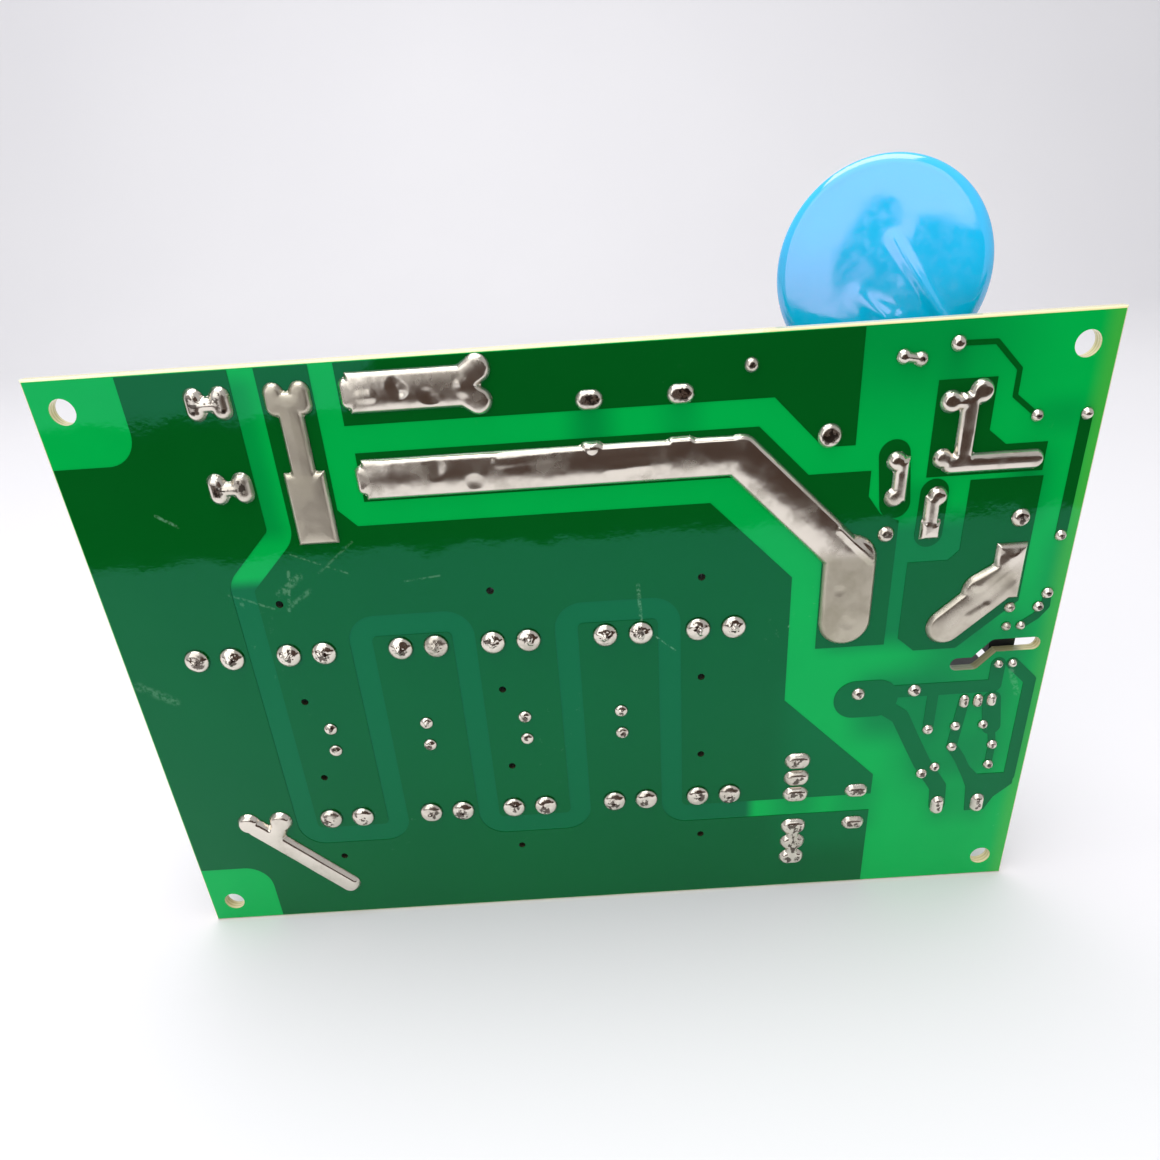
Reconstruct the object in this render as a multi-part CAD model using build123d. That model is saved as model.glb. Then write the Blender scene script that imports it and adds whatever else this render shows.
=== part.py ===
"""Power supply board of an inverter welder: a bare printed board with a bank of six
snap-in capacitors, a soft-start relay, a disc varistor and heavy soldered bus bars.

Millimetres. The board stands on its long edge: X to the right as seen from the solder
side, Z up, solder face on Y = 0 looking towards -Y, components towards +Y. The origin is
the centre of the four mounting holes, on the solder face.

Everything is drawn flat first, as on a layout drawing: x to the right, y up, z out of the
solder face, so the component side is at negative z. `export` stands it up.
"""
import os
from math import atan2, cos, degrees, hypot, radians, sin

from build123d import *

os.makedirs("parts", exist_ok=True)

# ---------------------------------------------------------------- driving dimensions
# capacitor bank
can_diameter = 35.0
can_height = 45.0
can_gap = 1.0                # between neighbours in a row
row_gap = 1.4                # between the two rows
can_columns = 3
can_rows = 2
terminal_pitch = 10.0        # live snap-in terminals
wide_pitch = 22.5            # spare pads for larger, four-terminal cans
locator_angle = 60.0         # locating holes of those cans, round the same circle

# strips of board round the bank
left_strip = 7.0
control_strip = 51.0
top_strip = 31.0
foot_strip = 7.6

# board
board_thickness = 2.0
edge_bevel = 0.35
mount_inset = 5.0
mount_hole = 4.0
foil = 0.1                   # etched copper under its solder mask
foil_margin = 0.5            # bare strip round the board's edge
lead_clearance = 0.15        # round a lead in its hole
rest_clearance = 0.3         # between a body and what it lies beside

# isolation gaps in the copper
gap_width = 4.0
gap_bend = 3.0
corner_field_width = 14.2
corner_field_height = 13.7
corner_field_radius = 5.0

# solder
joint_diameter = 4.5         # capacitor terminal
joint_height = 1.0
bar_height = 1.3
bus_width = 6.5
drop_width = 9.0
header_pitch = 3.96

# varistor
varistor_diameter = 33.0
varistor_thickness = 7.0
varistor_lift = 5.2          # its centre above the board's top edge
varistor_depth = 14.0        # its centre behind the component face
varistor_turn = 18.2         # about the vertical, facing left
varistor_lean = 5.0          # top leaning back

# ---------------------------------------------------------------- derived sizes
column_pitch = can_diameter + can_gap
row_pitch = can_diameter + row_gap
board_width = left_strip + can_columns * column_pitch - can_gap + control_strip
board_height = top_strip + can_rows * row_pitch - row_gap + foot_strip
seat = -board_thickness - foil       # plane that the components stand on
lead_end = foil - 0.05               # leads stop just short of the solder's own solid


def left(x):
    """Drawing x of a place measured from the board's left edge."""
    return x - board_width / 2


def right(x):
    """Drawing x of a place measured from the board's right edge."""
    return board_width / 2 - x


def top(y):
    """Drawing y of a place measured down from the board's top edge."""
    return board_height / 2 - y


def foot(y):
    """Drawing y of a place measured up from the board's bottom edge."""
    return y - board_height / 2


columns = [left(left_strip + can_diameter / 2 + i * column_pitch) for i in range(can_columns)]
rows = [top(top_strip + can_diameter / 2 + i * row_pitch) for i in range(can_rows)]


# ---------------------------------------------------------------- drawing helpers
def at(x, y, shape):
    """Put a flat or solid shape at a drawing position."""
    return Pos(x, y) * shape


def polygon(*points):
    """Face inside a closed line of points."""
    return make_face(Polyline(*points, close=True))


def box_face(x0, y0, x1, y1):
    """Upright rectangle between two opposite corners."""
    return Pos((x0 + x1) / 2, (y0 + y1) / 2) * Rectangle(abs(x1 - x0), abs(y1 - y0))


def oval(start, end, width):
    """Stadium of the given width round the line between two points."""
    dx, dy = end[0] - start[0], end[1] - start[1]
    middle = Pos((start[0] + end[0]) / 2, (start[1] + end[1]) / 2)
    return middle * Rot(0, 0, degrees(atan2(dy, dx))) * SlotCenterToCenter(hypot(dx, dy), width)


def track(points, width):
    """Copper track or solder run along straight legs, with round ends and corners."""
    legs = [oval(a, b, width) for a, b in zip(points, points[1:])]
    return Sketch() + legs


def solid_of(shapes):
    """Several shapes as one compound of separate solids."""
    return Compound(children=[s for shape in shapes for s in shape.solids()])


def export(name, *shapes):
    """Stand the drawing up and write one sub-part."""
    body = shapes[0] if len(shapes) == 1 else solid_of(shapes)
    export_step(Plane.XZ * body, f"parts/{name}.step")


# ---------------------------------------------------------------- places of the leads
live = terminal_pitch / 2
spare = wide_pitch / 2
cap_live = [(x + s * live, y) for y in rows for x in columns for s in (-1, 1)]
cap_spare = [(x + s * spare, y) for y in rows for x in columns for s in (-1, 1)]
locators = [(x + spare * cos(radians(locator_angle)), y + s * spare * sin(radians(locator_angle)))
            for y in rows for x in columns for s in (-1, 1)]

tab_pitch_x = 12.1
tab_pitch_y = 13.1
tab_leg = 2.0                # half the distance between a tab's two legs
tabs = [(left(27.2 + i * tab_pitch_x), top(5.2 + j * tab_pitch_y)) for j in range(2) for i in range(3)]

bleeder_pitch = 17.78        # between a bleeder's two leads
bleeder_spacing = 4.8        # between the two bleeders of a pair
bleeder_y = (rows[0] + rows[-1]) / 2
bleeders = [((a + b) / 2, bleeder_y + s * bleeder_spacing / 2)
            for a, b in zip(columns, columns[1:]) for s in (1, -1)]
bleeder_leads = [(x + s * bleeder_pitch / 2, y) for x, y in bleeders for s in (-1, 1)]

film_pitch = 10.0
films = [(right(80.2), top(8.3)), (right(66.2), top(8.3))]     # upper lead of each
film_leads = [(x, y - k * film_pitch) for x, y in films for k in (0, 1)]

varistor_x = right(32.0)
varistor_left_lead = (right(42.9), top(16.2))
varistor_right_lead = (right(20.0), top(10.9))

relay_contacts = [(right(37.9), top(45.0)), (right(14.8), top(46.6))]
relay_coil = [(right(32.3), top(33.2)), (right(25.2), top(32.7))]

output_x, output_y = right(44.3), top(90.0)
aux_x = right(32.4)
sense_x, sense_y = right(11.95), top(90.9)
output_pins = [(output_x, output_y + k * header_pitch) for k in (-3, -2, -1, 1, 2, 3)]
aux_pins = [(aux_x, output_y + k * header_pitch) for k in (-1, 1)]
sense_pins = [(sense_x + k * header_pitch, sense_y) for k in (-1, 1)]

opto_x, opto_y = right(7.8), top(55.7)
opto_pitch, opto_row = 2.54, 7.62
opto_pins = [(opto_x + a * opto_pitch / 2, opto_y + b * opto_row / 2) for a in (-1, 1) for b in (-1, 1)]

transistor_x, transistor_y = right(11.6), top(67.0)
transistor_pins = [(transistor_x + k * 2.54, transistor_y) for k in (-1, 0, 1)]

# axial parts: name, first lead, second lead, body diameter, body length, lead diameter
axials = {
    "top_resistor": ((right(55.5), top(4.8)), (right(32.6), top(5.1)), 4.0, 11.0, 0.8),
    "series_resistor": ((right(30.0), top(5.6)), (right(31.9), top(20.9)), 2.8, 8.0, 0.7),
    "clamp_diode": ((right(24.6), top(3.7)), (right(24.6), top(12.2)), 2.6, 4.8, 0.7),
    "trim_resistor": ((right(10.7), top(15.2)), (right(2.9), top(15.4)), 2.2, 5.4, 0.6),
    "edge_resistor": ((right(2.9), top(35.4)), (right(3.0), top(45.9)), 2.2, 5.8, 0.6),
    "flyback_diode": ((right(34.0), top(64.0)), (right(23.7), top(64.0)), 2.7, 5.2, 0.8),
    "bias_resistor_1": ((right(20.1), top(72.8)), (right(20.0), top(83.0)), 2.2, 5.8, 0.6),
    "bias_resistor_2": ((right(15.0), top(77.1)), (right(7.3), top(77.1)), 2.2, 4.6, 0.6),
    "bias_resistor_3": ((right(17.6), top(81.6)), (right(7.3), top(81.7)), 2.2, 5.8, 0.6),
}

# upright radial parts: name, first lead, second lead, length, thickness, height
radials = {
    "snubber_capacitor": ((right(31.7), top(27.1)), (right(24.6), top(27.2)), 10.0, 4.5, 9.0),
    "spark_capacitor": ((right(10.0), top(22.0)), (right(10.2), top(31.8)), 12.5, 5.0, 10.0),
    "filter_capacitor": ((right(9.1), top(48.2)), (right(4.1), top(48.4)), 6.5, 2.8, 6.0),
    "bypass_capacitor": ((right(15.0), top(72.4)), (right(9.8), top(72.4)), 6.5, 2.8, 6.0),
}
axial_leads = [(place, part[4]) for part in axials.values() for place in part[:2]]
radial_leads = [(place, 0.6) for part in radials.values() for place in part[:2]]


# ---------------------------------------------------------------- copper and solder outlines
# A run of solder is a list of simple outlines that overlap.
bar_left = left(48.4)
bus_y = top(18.35)                   # centre line of the main bus
bend_x = right(56.9)
drop_x = right(37.9)
slope_width = 6.8
drop_start = bus_y - (drop_x - bend_x)
drop_end = top(48.7)
bus_top = bus_y + bus_width / 2
main_bus = [
    box_face(bar_left, bus_top, bend_x, bus_y - bus_width / 2),
    oval((bend_x, bus_y), (drop_x + 0.8, drop_start - 0.8), slope_width),
    oval((drop_x, drop_start), (drop_x, drop_end), drop_width),
    oval((films[0][0] - 0.9, bus_top - 0.4), (films[0][0] + 0.9, bus_top - 0.4), 1.9),
    oval((films[1][0] - 1.4, bus_top - 0.5), (films[1][0] + 1.4, bus_top - 0.5), 1.8),
    oval((bar_left, bus_y + 1.2), (bar_left, bus_y - 1.2), 2.4),
]

upper_y = top(5.0)
upper_width = 6.2
upper_lobes = [(left(68.2), top(2.6)), (left(68.0), top(7.3))]
upper_bar = [
    box_face(bar_left, upper_y + upper_width / 2, left(66.5), upper_y - upper_width / 2),
    oval((left(66.0), upper_y + 1.0), upper_lobes[0], 4.3),
    oval((left(66.0), upper_y - 0.9), upper_lobes[1], 4.3),
    oval((bar_left, upper_y + 1.2), (bar_left, upper_y - 1.2), 2.4),
]


def tab_outline(x, y):
    """Bow tie of solder round the two legs of a tab terminal."""
    legs = [oval((x + s * tab_leg, y + 0.95), (x + s * tab_leg, y - 0.95), 3.2) for s in (-1, 1)]
    return legs + [box_face(x - tab_leg, y + 1.2, x + tab_leg, y - 1.3)]


link_x = tabs[1][0]
link_low = tabs[4][1]
link_bar = tab_outline(link_x, tabs[1][1]) + [
    box_face(link_x - 1.95, tabs[1][1], link_x + 1.95, link_low),
    box_face(link_x - 3.3, link_low + 1.9, link_x + 3.3, link_low - 10.1),
]

bone_lobes = [(columns[0] - spare, rows[-1]), (columns[0] - live, rows[-1])]
bone_start = (bone_lobes[0][0] + 1.2, bone_lobes[0][1] - 1.2)
bone_end = (columns[0] + 5.5, rows[-1] - 16.8)
bone_bar = [at(x, y, Circle(joint_diameter / 2)) for x, y in bone_lobes] + [
    oval(bone_start, bone_end, 4.1),
    oval(bone_lobes[1], (bone_lobes[1][0] - 2.2, bone_lobes[1][1] - 4.4), 3.6),
]

stem_x = right(21.5)
tee_y = top(22.0)
tee_lobes = [(right(24.5), top(12.2)), (right(20.0), top(10.9)), (right(24.7), top(21.0))]
tee_bar = [at(x, y, Circle(r)) for (x, y), r in zip(tee_lobes, (1.8, 1.95, 1.6))] + [
    oval(tee_lobes[0], (stem_x, tee_lobes[1][1] - 1.6), 2.4),
    box_face(stem_x - 1.5, tee_lobes[1][1], stem_x + 1.5, tee_y),
    oval((right(23.2), tee_y), (right(10.0), tee_y), 3.2),
]

strip_1 = [at(right(x), top(y), Circle(1.65)) for x, y in ((31.9, 21.0), (31.7, 26.9))] + [
    box_face(right(32.3), top(20.2), right(29.7), top(27.8))]
strip_2 = [at(right(24.6), top(27.2), Circle(1.7)),
           box_face(right(26.6), top(27.0), right(23.9), top(33.0)),
           box_face(right(26.8), top(31.2), right(23.4), top(34.5))]

blob_end = (right(20.1), top(51.0))
output_bar = [
    box_face(right(13.4), top(36.1), right(8.2), top(46.3)),
    oval((right(11.6), top(43.4)), blob_end, 6.6),
    oval((right(11.4), top(42.2)), (right(15.0), top(44.4)), 6.2),
]

tab_joints = [tab_outline(*tabs[0]), tab_outline(*tabs[3])]
capacitor_joints = [[at(x, y, Circle(joint_diameter / 2))] for x, y in cap_live + cap_spare
                    if (x, y) not in bone_lobes]
bleeder_joints = [[at(x, y, Circle(1.25))] for x, y in bleeder_leads]

output_ovals = [oval((x - 0.75, y), (x + 0.75, y), 3.5) for x, y in output_pins]
# the three lower output pins are bridged into one hourglass
lower_bridge = box_face(output_x - 1.3, output_pins[0][1], output_x + 1.3, output_pins[2][1])
header_joints = ([output_ovals[:3] + [lower_bridge]] + [[one] for one in output_ovals[3:]]
                 + [[oval((x - 0.75, y), (x + 0.75, y), 3.0)] for x, y in aux_pins]
                 + [[oval((x, y - 0.8), (x, y + 0.8), 2.7)] for x, y in sense_pins])

round_joints = [          # place, diameter
    ((right(55.5), top(4.8)), 2.3), (varistor_left_lead, 3.9), ((right(24.6), top(3.7)), 2.4),
    ((right(10.7), top(15.2)), 2.0), ((right(2.9), top(15.4)), 2.0), (relay_coil[0], 2.8),
    ((right(10.2), top(31.8)), 3.2), ((right(2.9), top(35.4)), 2.0), ((right(3.0), top(45.9)), 2.1),
    ((right(9.1), top(48.2)), 2.0), ((right(4.1), top(48.4)), 2.0),
    ((right(34.0), top(64.0)), 2.5), ((right(23.7), top(64.0)), 2.5),
    ((right(20.1), top(72.8)), 2.1), ((right(20.0), top(83.0)), 2.2), ((right(15.0), top(72.4)), 2.0),
    ((right(9.8), top(72.4)), 1.9), ((right(15.0), top(77.1)), 2.0), ((right(7.3), top(77.1)), 2.0),
    ((right(17.6), top(81.6)), 2.0), ((right(7.3), top(81.7)), 2.0),
]
top_pair = [(right(32.6), top(5.1)), (right(30.0), top(5.6))]
control_joints = (
    [[at(x, y, Circle(d / 2))] for (x, y), d in round_joints]
    + [[at(x, y, Circle(0.85))] for x, y in opto_pins]
    + [[oval((x, y - 0.5), (x, y + 0.5), 1.8)] for x, y in transistor_pins]
    + [[oval((x - 0.6, y), (x + 0.6, y), 3.1)] for x, y in films]
    + [[oval(*top_pair, 1.5)] + [at(x, y, Circle(1.15)) for x, y in top_pair]])


# ---------------------------------------------------------------- copper pours
def bare_gap():
    """The isolation gap that winds between the capacitor terminals."""
    high, low = rows[0] + 4.5, rows[-1] - 4.2
    runs = [(left(33.1), top(-1)), (left(33.1), top(26.6)), (columns[0], top(35.2)), (columns[0], low)]
    for i in range(can_columns - 1):
        middle, after = (columns[i] + columns[i + 1]) / 2, columns[i + 1]
        runs += [(middle, low), (middle, high), (after, high), (after, low)]
    runs.append((right(27.0), low))
    return trace(FilletPolyline(*runs, radius=gap_bend), gap_width)


plane_right = right(29.4)
plane_step = right(47.5)
bank_pour = polygon(
    (left(0), top(0)), (left(43.2), top(0)), (left(43.2), top(23.0)), (left(46.0), top(25.9)),
    (right(61.5), top(25.9)), (plane_step, top(39.9)), (plane_step, top(64.4)),
    (plane_right, top(64.4) - (plane_right - plane_step)), (plane_right, foot(0)), (left(0), foot(0)))
upper_pour = polygon(
    (left(47.0), top(0)), (right(38.7), top(0)), (right(38.7), top(18.0)), (right(43.8), top(18.0)),
    (right(51.8), top(9.8)), (left(47.0), top(9.8)))
bus_pour = polygon(
    (left(47.8), top(14.1)), (right(54.0), top(14.1)), (right(45.8), top(22.3)), (right(35.8), top(22.3)),
    (right(35.8), top(26.5)), (right(33.5), top(29.7)), (right(30.4), top(31.0)),
    (right(30.4), top(54.0)), (right(42.6), top(54.0)), (right(42.6), top(37.4)),
    (right(58.0), top(21.9)), (left(47.8), top(21.9)))
tee_pour = polygon(
    (right(26.8), top(8.9)), (right(17.8), top(8.9)), (right(17.8), top(17.0)), (right(14.8), top(19.4)),
    (right(8.2), top(19.4)), (right(8.2), top(24.0)), (right(26.8), top(24.0)))
output_pour = polygon(
    (right(19.5), top(24.9)), (right(7.8), top(24.9)), (right(7.8), top(47.0)),
    (right(17.5), top(55.6)), (right(25.0), top(55.6)), (right(28.0), top(53.0)),
    (right(28.0), top(38.6)), (right(21.2), top(38.6)), (right(19.5), top(36.9)))
return_pour = polygon(
    (right(11.4), top(81.4)), (right(9.0), top(84.0)), (right(1.8), top(84.0)), (right(1.8), top(86.8)),
    (right(5.0), top(89.8)), (right(6.4), top(92.8)), (right(10.2), top(92.8)))
tracks = [
    track([(right(24.6), top(3.7)), (right(18.8), top(3.8)), (right(14.7), top(8.0)),
           (right(14.7), top(12.0)), (right(10.7), top(15.2))], 0.8),
    track([(right(2.9), top(15.4)), (right(2.9), top(35.4))], 1.9),
    track([(right(3.0), top(45.9)), (right(2.8), top(48.4)), (right(4.1), top(50.2)), opto_pins[3]], 1.5),
    track([opto_pins[0], (opto_pins[0][0], top(64.0)), (right(34.0), top(64.0))], 2.6),
    track([(right(34.5), top(65.2)), (right(30.5), top(65.2))], 7.8),
    track([(right(30.5), top(66.0)), (right(25.7), top(69.5)), (right(23.0), top(75.0)),
           (right(20.2), top(80.5)), (right(16.3), top(86.5)), sense_pins[0]], 3.2),
    track([(right(20.1), top(72.8)), (right(20.1), top(64.6))], 2.0),
    track([transistor_pins[0], (right(15.0), top(77.0)), (right(13.0), top(80.0)),
           (right(11.0), top(84.0)), sense_pins[1]], 2.0),
    track([transistor_pins[2], (right(8.1), top(73.0))], 3.4),
    track([(right(8.1), top(73.0)), (right(7.3), top(77.1)), (right(7.3), top(81.7))], 1.4),
    track([opto_pins[2], (right(2.7), top(63.3)), (right(2.7), top(85.0))], 2.2),
    track([(right(32.3), top(20.0)), (right(31.4), top(28.0))], 5.0),
    track([(right(25.1), top(26.6)), (right(25.2), top(33.6))], 4.6),
]
corner_fields = [
    at(left(corner_field_width / 2), s * (board_height - corner_field_height) / 2,
       RectangleRounded(corner_field_width, corner_field_height, corner_field_radius)) for s in (1, -1)]
corner_squares = [
    box_face(left(0), s * board_height / 2, left(x), s * (board_height / 2 - y)) for s in (1, -1)
    for x, y in ((corner_field_width, corner_field_height - corner_field_radius),
                 (corner_field_width - corner_field_radius, corner_field_height))]

solder_runs = {"main_bus_solder": [main_bus], "upper_bar_solder": [upper_bar],
               "link_bar_solder": [link_bar], "bank_link_solder": [bone_bar],
               "tee_bar_solder": [tee_bar], "strip_solder": [strip_1, strip_2],
               "output_bar_solder": [output_bar]}
joint_groups = {"tab_joints": (tab_joints, 1.2), "capacitor_joints": (capacitor_joints, joint_height),
                "bleeder_joints": (bleeder_joints, 0.8), "header_joints": (header_joints, 0.9),
                "control_joints": (control_joints, 0.7)}
pad_outlines = [outline for runs in list(solder_runs.values()) + [g for g, _ in joint_groups.values()]
                for run in runs for outline in run]


# ---------------------------------------------------------------- holes
def round_hole(place, lead):
    """Hole for a round lead of the given diameter."""
    return at(*place, Circle(lead / 2 + lead_clearance))


header_lead = 1.2
pin_lead = 0.5
terminal_lead = 1.5
tab_lead = 1.2
contact_lead = 1.6
holes = ([round_hole(p, terminal_lead) for p in cap_live + cap_spare]
         + [round_hole((x + s * tab_leg, y), tab_lead) for x, y in tabs for s in (-1, 1)]
         + [round_hole(p, 0.8) for p in bleeder_leads + film_leads]
         + [round_hole(p, 1.2) for p in (varistor_left_lead, varistor_right_lead)]
         + [round_hole(p, contact_lead) for p in relay_contacts]
         + [round_hole(p, 1.0) for p in relay_coil]
         + [round_hole(p, header_lead) for p in output_pins + aux_pins + sense_pins]
         + [round_hole(p, pin_lead) for p in opto_pins]
         + [round_hole(p, 0.8) for p in transistor_pins]
         + [round_hole(p, d) for p, d in axial_leads + radial_leads])
open_holes = [at(x, y, Circle(0.65)) for x, y in locators]
mounts = [at(sx * (board_width / 2 - mount_inset), sy * (board_height / 2 - mount_inset),
             Circle(mount_hole / 2)) for sx in (-1, 1) for sy in (-1, 1)]
slot_width = 2.5
slot = track([(right(16.6), top(59.1)), (right(13.6), top(59.1)),
              (right(10.4), opto_y), (right(3.5), opto_y)], slot_width)


# ---------------------------------------------------------------- board and foil
def circuit_board():
    """Glass-epoxy sheet with scored, bevelled edges, the slot and every hole."""
    sheet = extrude(Rectangle(board_width, board_height), -board_thickness)
    sheet = chamfer(sheet.faces().sort_by(Axis.Z)[-1].edges(), edge_bevel)
    cuts = Sketch() + holes + open_holes + mounts + slot
    return sheet - extrude(cuts, -board_thickness)


def solder_side_copper():
    """Pours, tracks and pads on the solder side."""
    inside = Rectangle(board_width - 2 * foil_margin, board_height - 2 * foil_margin)
    flat = bank_pour - bare_gap() - corner_fields - corner_squares
    flat = flat + [upper_pour, bus_pour, tee_pour, output_pour, return_pour] + tracks
    flat = (flat & inside) + pad_outlines
    return extrude(flat - holes - open_holes - mounts - slot, foil)


def component_side_copper():
    """Plane behind the capacitor bank, cleared round the terminals."""
    pads = [at(x, y, Circle(joint_diameter / 2 + 0.6)) for x, y in cap_live + cap_spare + bleeder_leads]
    plane = box_face(columns[0] - 4.5, top(34.6), columns[-1] + 15.5, rows[-1] - 7.0)
    plane = plane - pads - [at(x, y, Circle(1.6)) for x, y in locators]
    return Pos(0, 0, -board_thickness) * extrude(plane, -foil)


def solder(run, height):
    """One run of solder on the copper: overlapping beads with rounded upper edges."""
    beads = []
    for outline in run:
        bead = Pos(0, 0, foil) * extrude(outline, height)
        beads.append(fillet(bead.faces().sort_by(Axis.Z)[-1].edges(), 0.6 * height))
    return Part() + beads


export("circuit_board", circuit_board())
export("solder_side_copper", solder_side_copper())
export("component_side_copper", component_side_copper())

for name, runs in solder_runs.items():
    export(name, *[solder(run, bar_height) for run in runs])
for name, (runs, height) in joint_groups.items():
    export(name, *[solder(run, height) for run in runs])


# ---------------------------------------------------------------- component helpers
def post(place, width, depth, reach):
    """Straight square lead, from the solder down through the board to a height above it."""
    length = lead_end - seat + reach
    return at(*place, Pos(0, 0, lead_end - length / 2) * Box(width, depth, length))


def upright(place, profile, height, low=0.0):
    """Body standing on the component side: a flat outline raised from one height to another."""
    return Pos(place[0], place[1], seat - low) * extrude(profile, low - height)


def wire(points, diameter):
    """Round wire bent along straight legs."""
    path = FilletPolyline(*points, radius=1.2 * diameter)
    return sweep(Plane(path @ 0, z_dir=path % 0) * Circle(diameter / 2), path)


def axial(first, second, body, length, lead):
    """Axial part lying on the board: one wire through a body with bulged end caps."""
    height = seat - rest_clearance - body / 2
    ends = [(*first, lead_end), (*first, height), (*second, height), (*second, lead_end)]
    turn = degrees(atan2(second[1] - first[1], second[0] - first[0]))
    middle = Pos((first[0] + second[0]) / 2, (first[1] + second[1]) / 2, height)
    caps = []
    for side in (-1, 1):
        cap = Pos(0, 0, side * 0.36 * length) * Cylinder(body / 2, 0.28 * length)
        caps.append(fillet(cap.edges().filter_by(GeomType.CIRCLE), 0.14 * body))
    barrel = Cylinder(0.45 * body, 0.9 * length) + caps
    return wire(ends, lead) + middle * Rot(0, 0, turn) * Rot(0, 90, 0) * barrel


def radial(first, second, length, thickness, height, corner, lead):
    """Upright part on two leads: a rounded slab just off the board."""
    turn = degrees(atan2(second[1] - first[1], second[0] - first[0]))
    middle = ((first[0] + second[0]) / 2, (first[1] + second[1]) / 2)
    slab = extrude(RectangleRounded(length, thickness, corner), rest_clearance - height)
    slab = fillet(slab.edges().group_by(Axis.Z)[0], 0.8 * corner)
    body = Pos(*middle, seat - rest_clearance) * Rot(0, 0, turn) * slab
    leg = lead_end - seat + 2 * rest_clearance
    legs = [at(*place, Pos(0, 0, lead_end - leg / 2) * Cylinder(lead / 2, leg)) for place in (first, second)]
    return Part() + body + legs


# ---------------------------------------------------------------- capacitors
base_round = 0.8
top_round = 1.2
crimp_height = 4.2
crimp_depth = 1.0
sleeve_lip = 2.4             # sleeve folded in over the top
vent_recess = 0.5
vent_length = 20.0
vent_width = 0.6
vent_depth = 0.3
terminal_width = 1.4
terminal_thickness = 0.8
terminal_root = 0.5          # inside the can's base


def capacitor():
    """Sleeved snap-in can standing on the component side, its two terminals through the board."""
    radius = can_diameter / 2
    rim = can_height - vent_recess
    half = Polyline((0, 0), (radius - base_round, 0), (radius, base_round),
                    (radius, crimp_height - crimp_depth), (radius - crimp_depth, crimp_height),
                    (radius, crimp_height + crimp_depth), (radius, can_height - top_round),
                    (radius - top_round, can_height), (radius - sleeve_lip, can_height),
                    (radius - sleeve_lip, rim), (0, rim), close=True)
    can = revolve(Plane.XZ * make_face(half), Axis.Z)
    for turn in (0, 90):
        can -= Pos(0, 0, rim) * Rot(0, 0, turn) * Box(vent_length, vent_width, 2 * vent_depth)
    terminals = [post((s * live, 0), terminal_thickness, terminal_width, terminal_root) for s in (-1, 1)]
    return Pos(0, 0, seat) * Rot(180, 0, 0) * can + terminals


can = capacitor()
for index, (x, y) in enumerate([(x, y) for y in rows for x in columns], start=1):
    export(f"capacitor_{index}", at(x, y, can))

# ---------------------------------------------------------------- tabs
tab_width = 6.3
tab_thickness = 0.8
tab_height = 9.0
tab_tip = 1.2                # chamfer at the blade's tip
tab_latch = 1.6              # latch hole


def tab_terminal(x, y):
    """Push-on blade with two legs, its tip chamfered and its latch hole punched."""
    blade = Pos(0, 0, seat - tab_height / 2) * Box(tab_width, tab_thickness, tab_height)
    blade = chamfer(blade.edges().group_by(Axis.Z)[0].filter_by(Axis.Y), tab_tip)
    punch = Rot(90, 0, 0) * Cylinder(tab_latch / 2, 2 * tab_thickness)
    blade -= Pos(0, 0, seat - 0.6 * tab_height) * punch
    legs = [post((s * tab_leg, 0), tab_lead - 0.2, 0.8 * tab_thickness, 0) for s in (-1, 1)]
    return at(x, y, Part() + blade + legs)


for index, (x, y) in enumerate(tabs, start=1):
    export(f"tab_terminal_{index}", tab_terminal(x, y))

# ---------------------------------------------------------------- resistors, diodes, small capacitors
bleeder_diameter = 4.2
bleeder_length = 11.0
film_length, film_thickness, film_height = 13.0, 6.0, 12.0
film_corner = 0.8
stout_lead = 0.8             # bleeders and film capacitors
thin_lead = 0.6

for index, (x, y) in enumerate(bleeders, start=1):
    ends = [(x + s * bleeder_pitch / 2, y) for s in (-1, 1)]
    export(f"bleeder_resistor_{index}", axial(*ends, bleeder_diameter, bleeder_length, stout_lead))
for name, sizes in axials.items():
    export(name, axial(*sizes))
for index, (x, y) in enumerate(films, start=1):
    export(f"film_capacitor_{index}", radial((x, y), (x, y - film_pitch), film_length, film_thickness,
                                             film_height, film_corner, stout_lead))
for name, (first, second, length, thickness, height) in radials.items():
    export(name, radial(first, second, length, thickness, height, 0.4 * thickness, thin_lead))

# ---------------------------------------------------------------- relay
relay_width, relay_length, relay_height = 27.8, 23.5, 24.0
relay_corner = 1.5
relay_round = 1.2            # round the top of its case
relay_middle = (right(26.9), top(42.25))
contact_pin = (1.5, 0.8)
coil_pin = (0.8, 0.6)
relay_plan = RectangleRounded(relay_width, relay_length, relay_corner)
relay = upright(relay_middle, relay_plan, relay_height, rest_clearance)
relay = fillet(relay.faces().sort_by(Axis.Z)[0].edges(), relay_round)
export("relay_case", relay)
export("relay_pins", *[post(p, *contact_pin, rest_clearance) for p in relay_contacts],
       *[post(p, *coil_pin, rest_clearance) for p in relay_coil])

# ---------------------------------------------------------------- optocoupler and transistor
opto_size = (4.6, 6.5)
opto_height = 3.9
opto_stand = 0.5
leg_thickness = 0.25


def opto_leg(place):
    """Leg of the dual-in-line case: up from the board, then in to the body's side."""
    side = 1 if place[1] > opto_y else -1
    reach = (opto_row - opto_size[1] + leg_thickness) / 2
    elbow = (opto_stand + opto_height) / 2
    shoulder = Pos(place[0], opto_y + side * (opto_size[1] + reach) / 2, seat - elbow)
    return post(place, 0.5, leg_thickness, elbow) + shoulder * Box(1.0, reach, leg_thickness)


opto_case = upright((opto_x, opto_y), Rectangle(*opto_size), opto_height, opto_stand)
export("optocoupler", opto_case + [opto_leg(p) for p in opto_pins])

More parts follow.
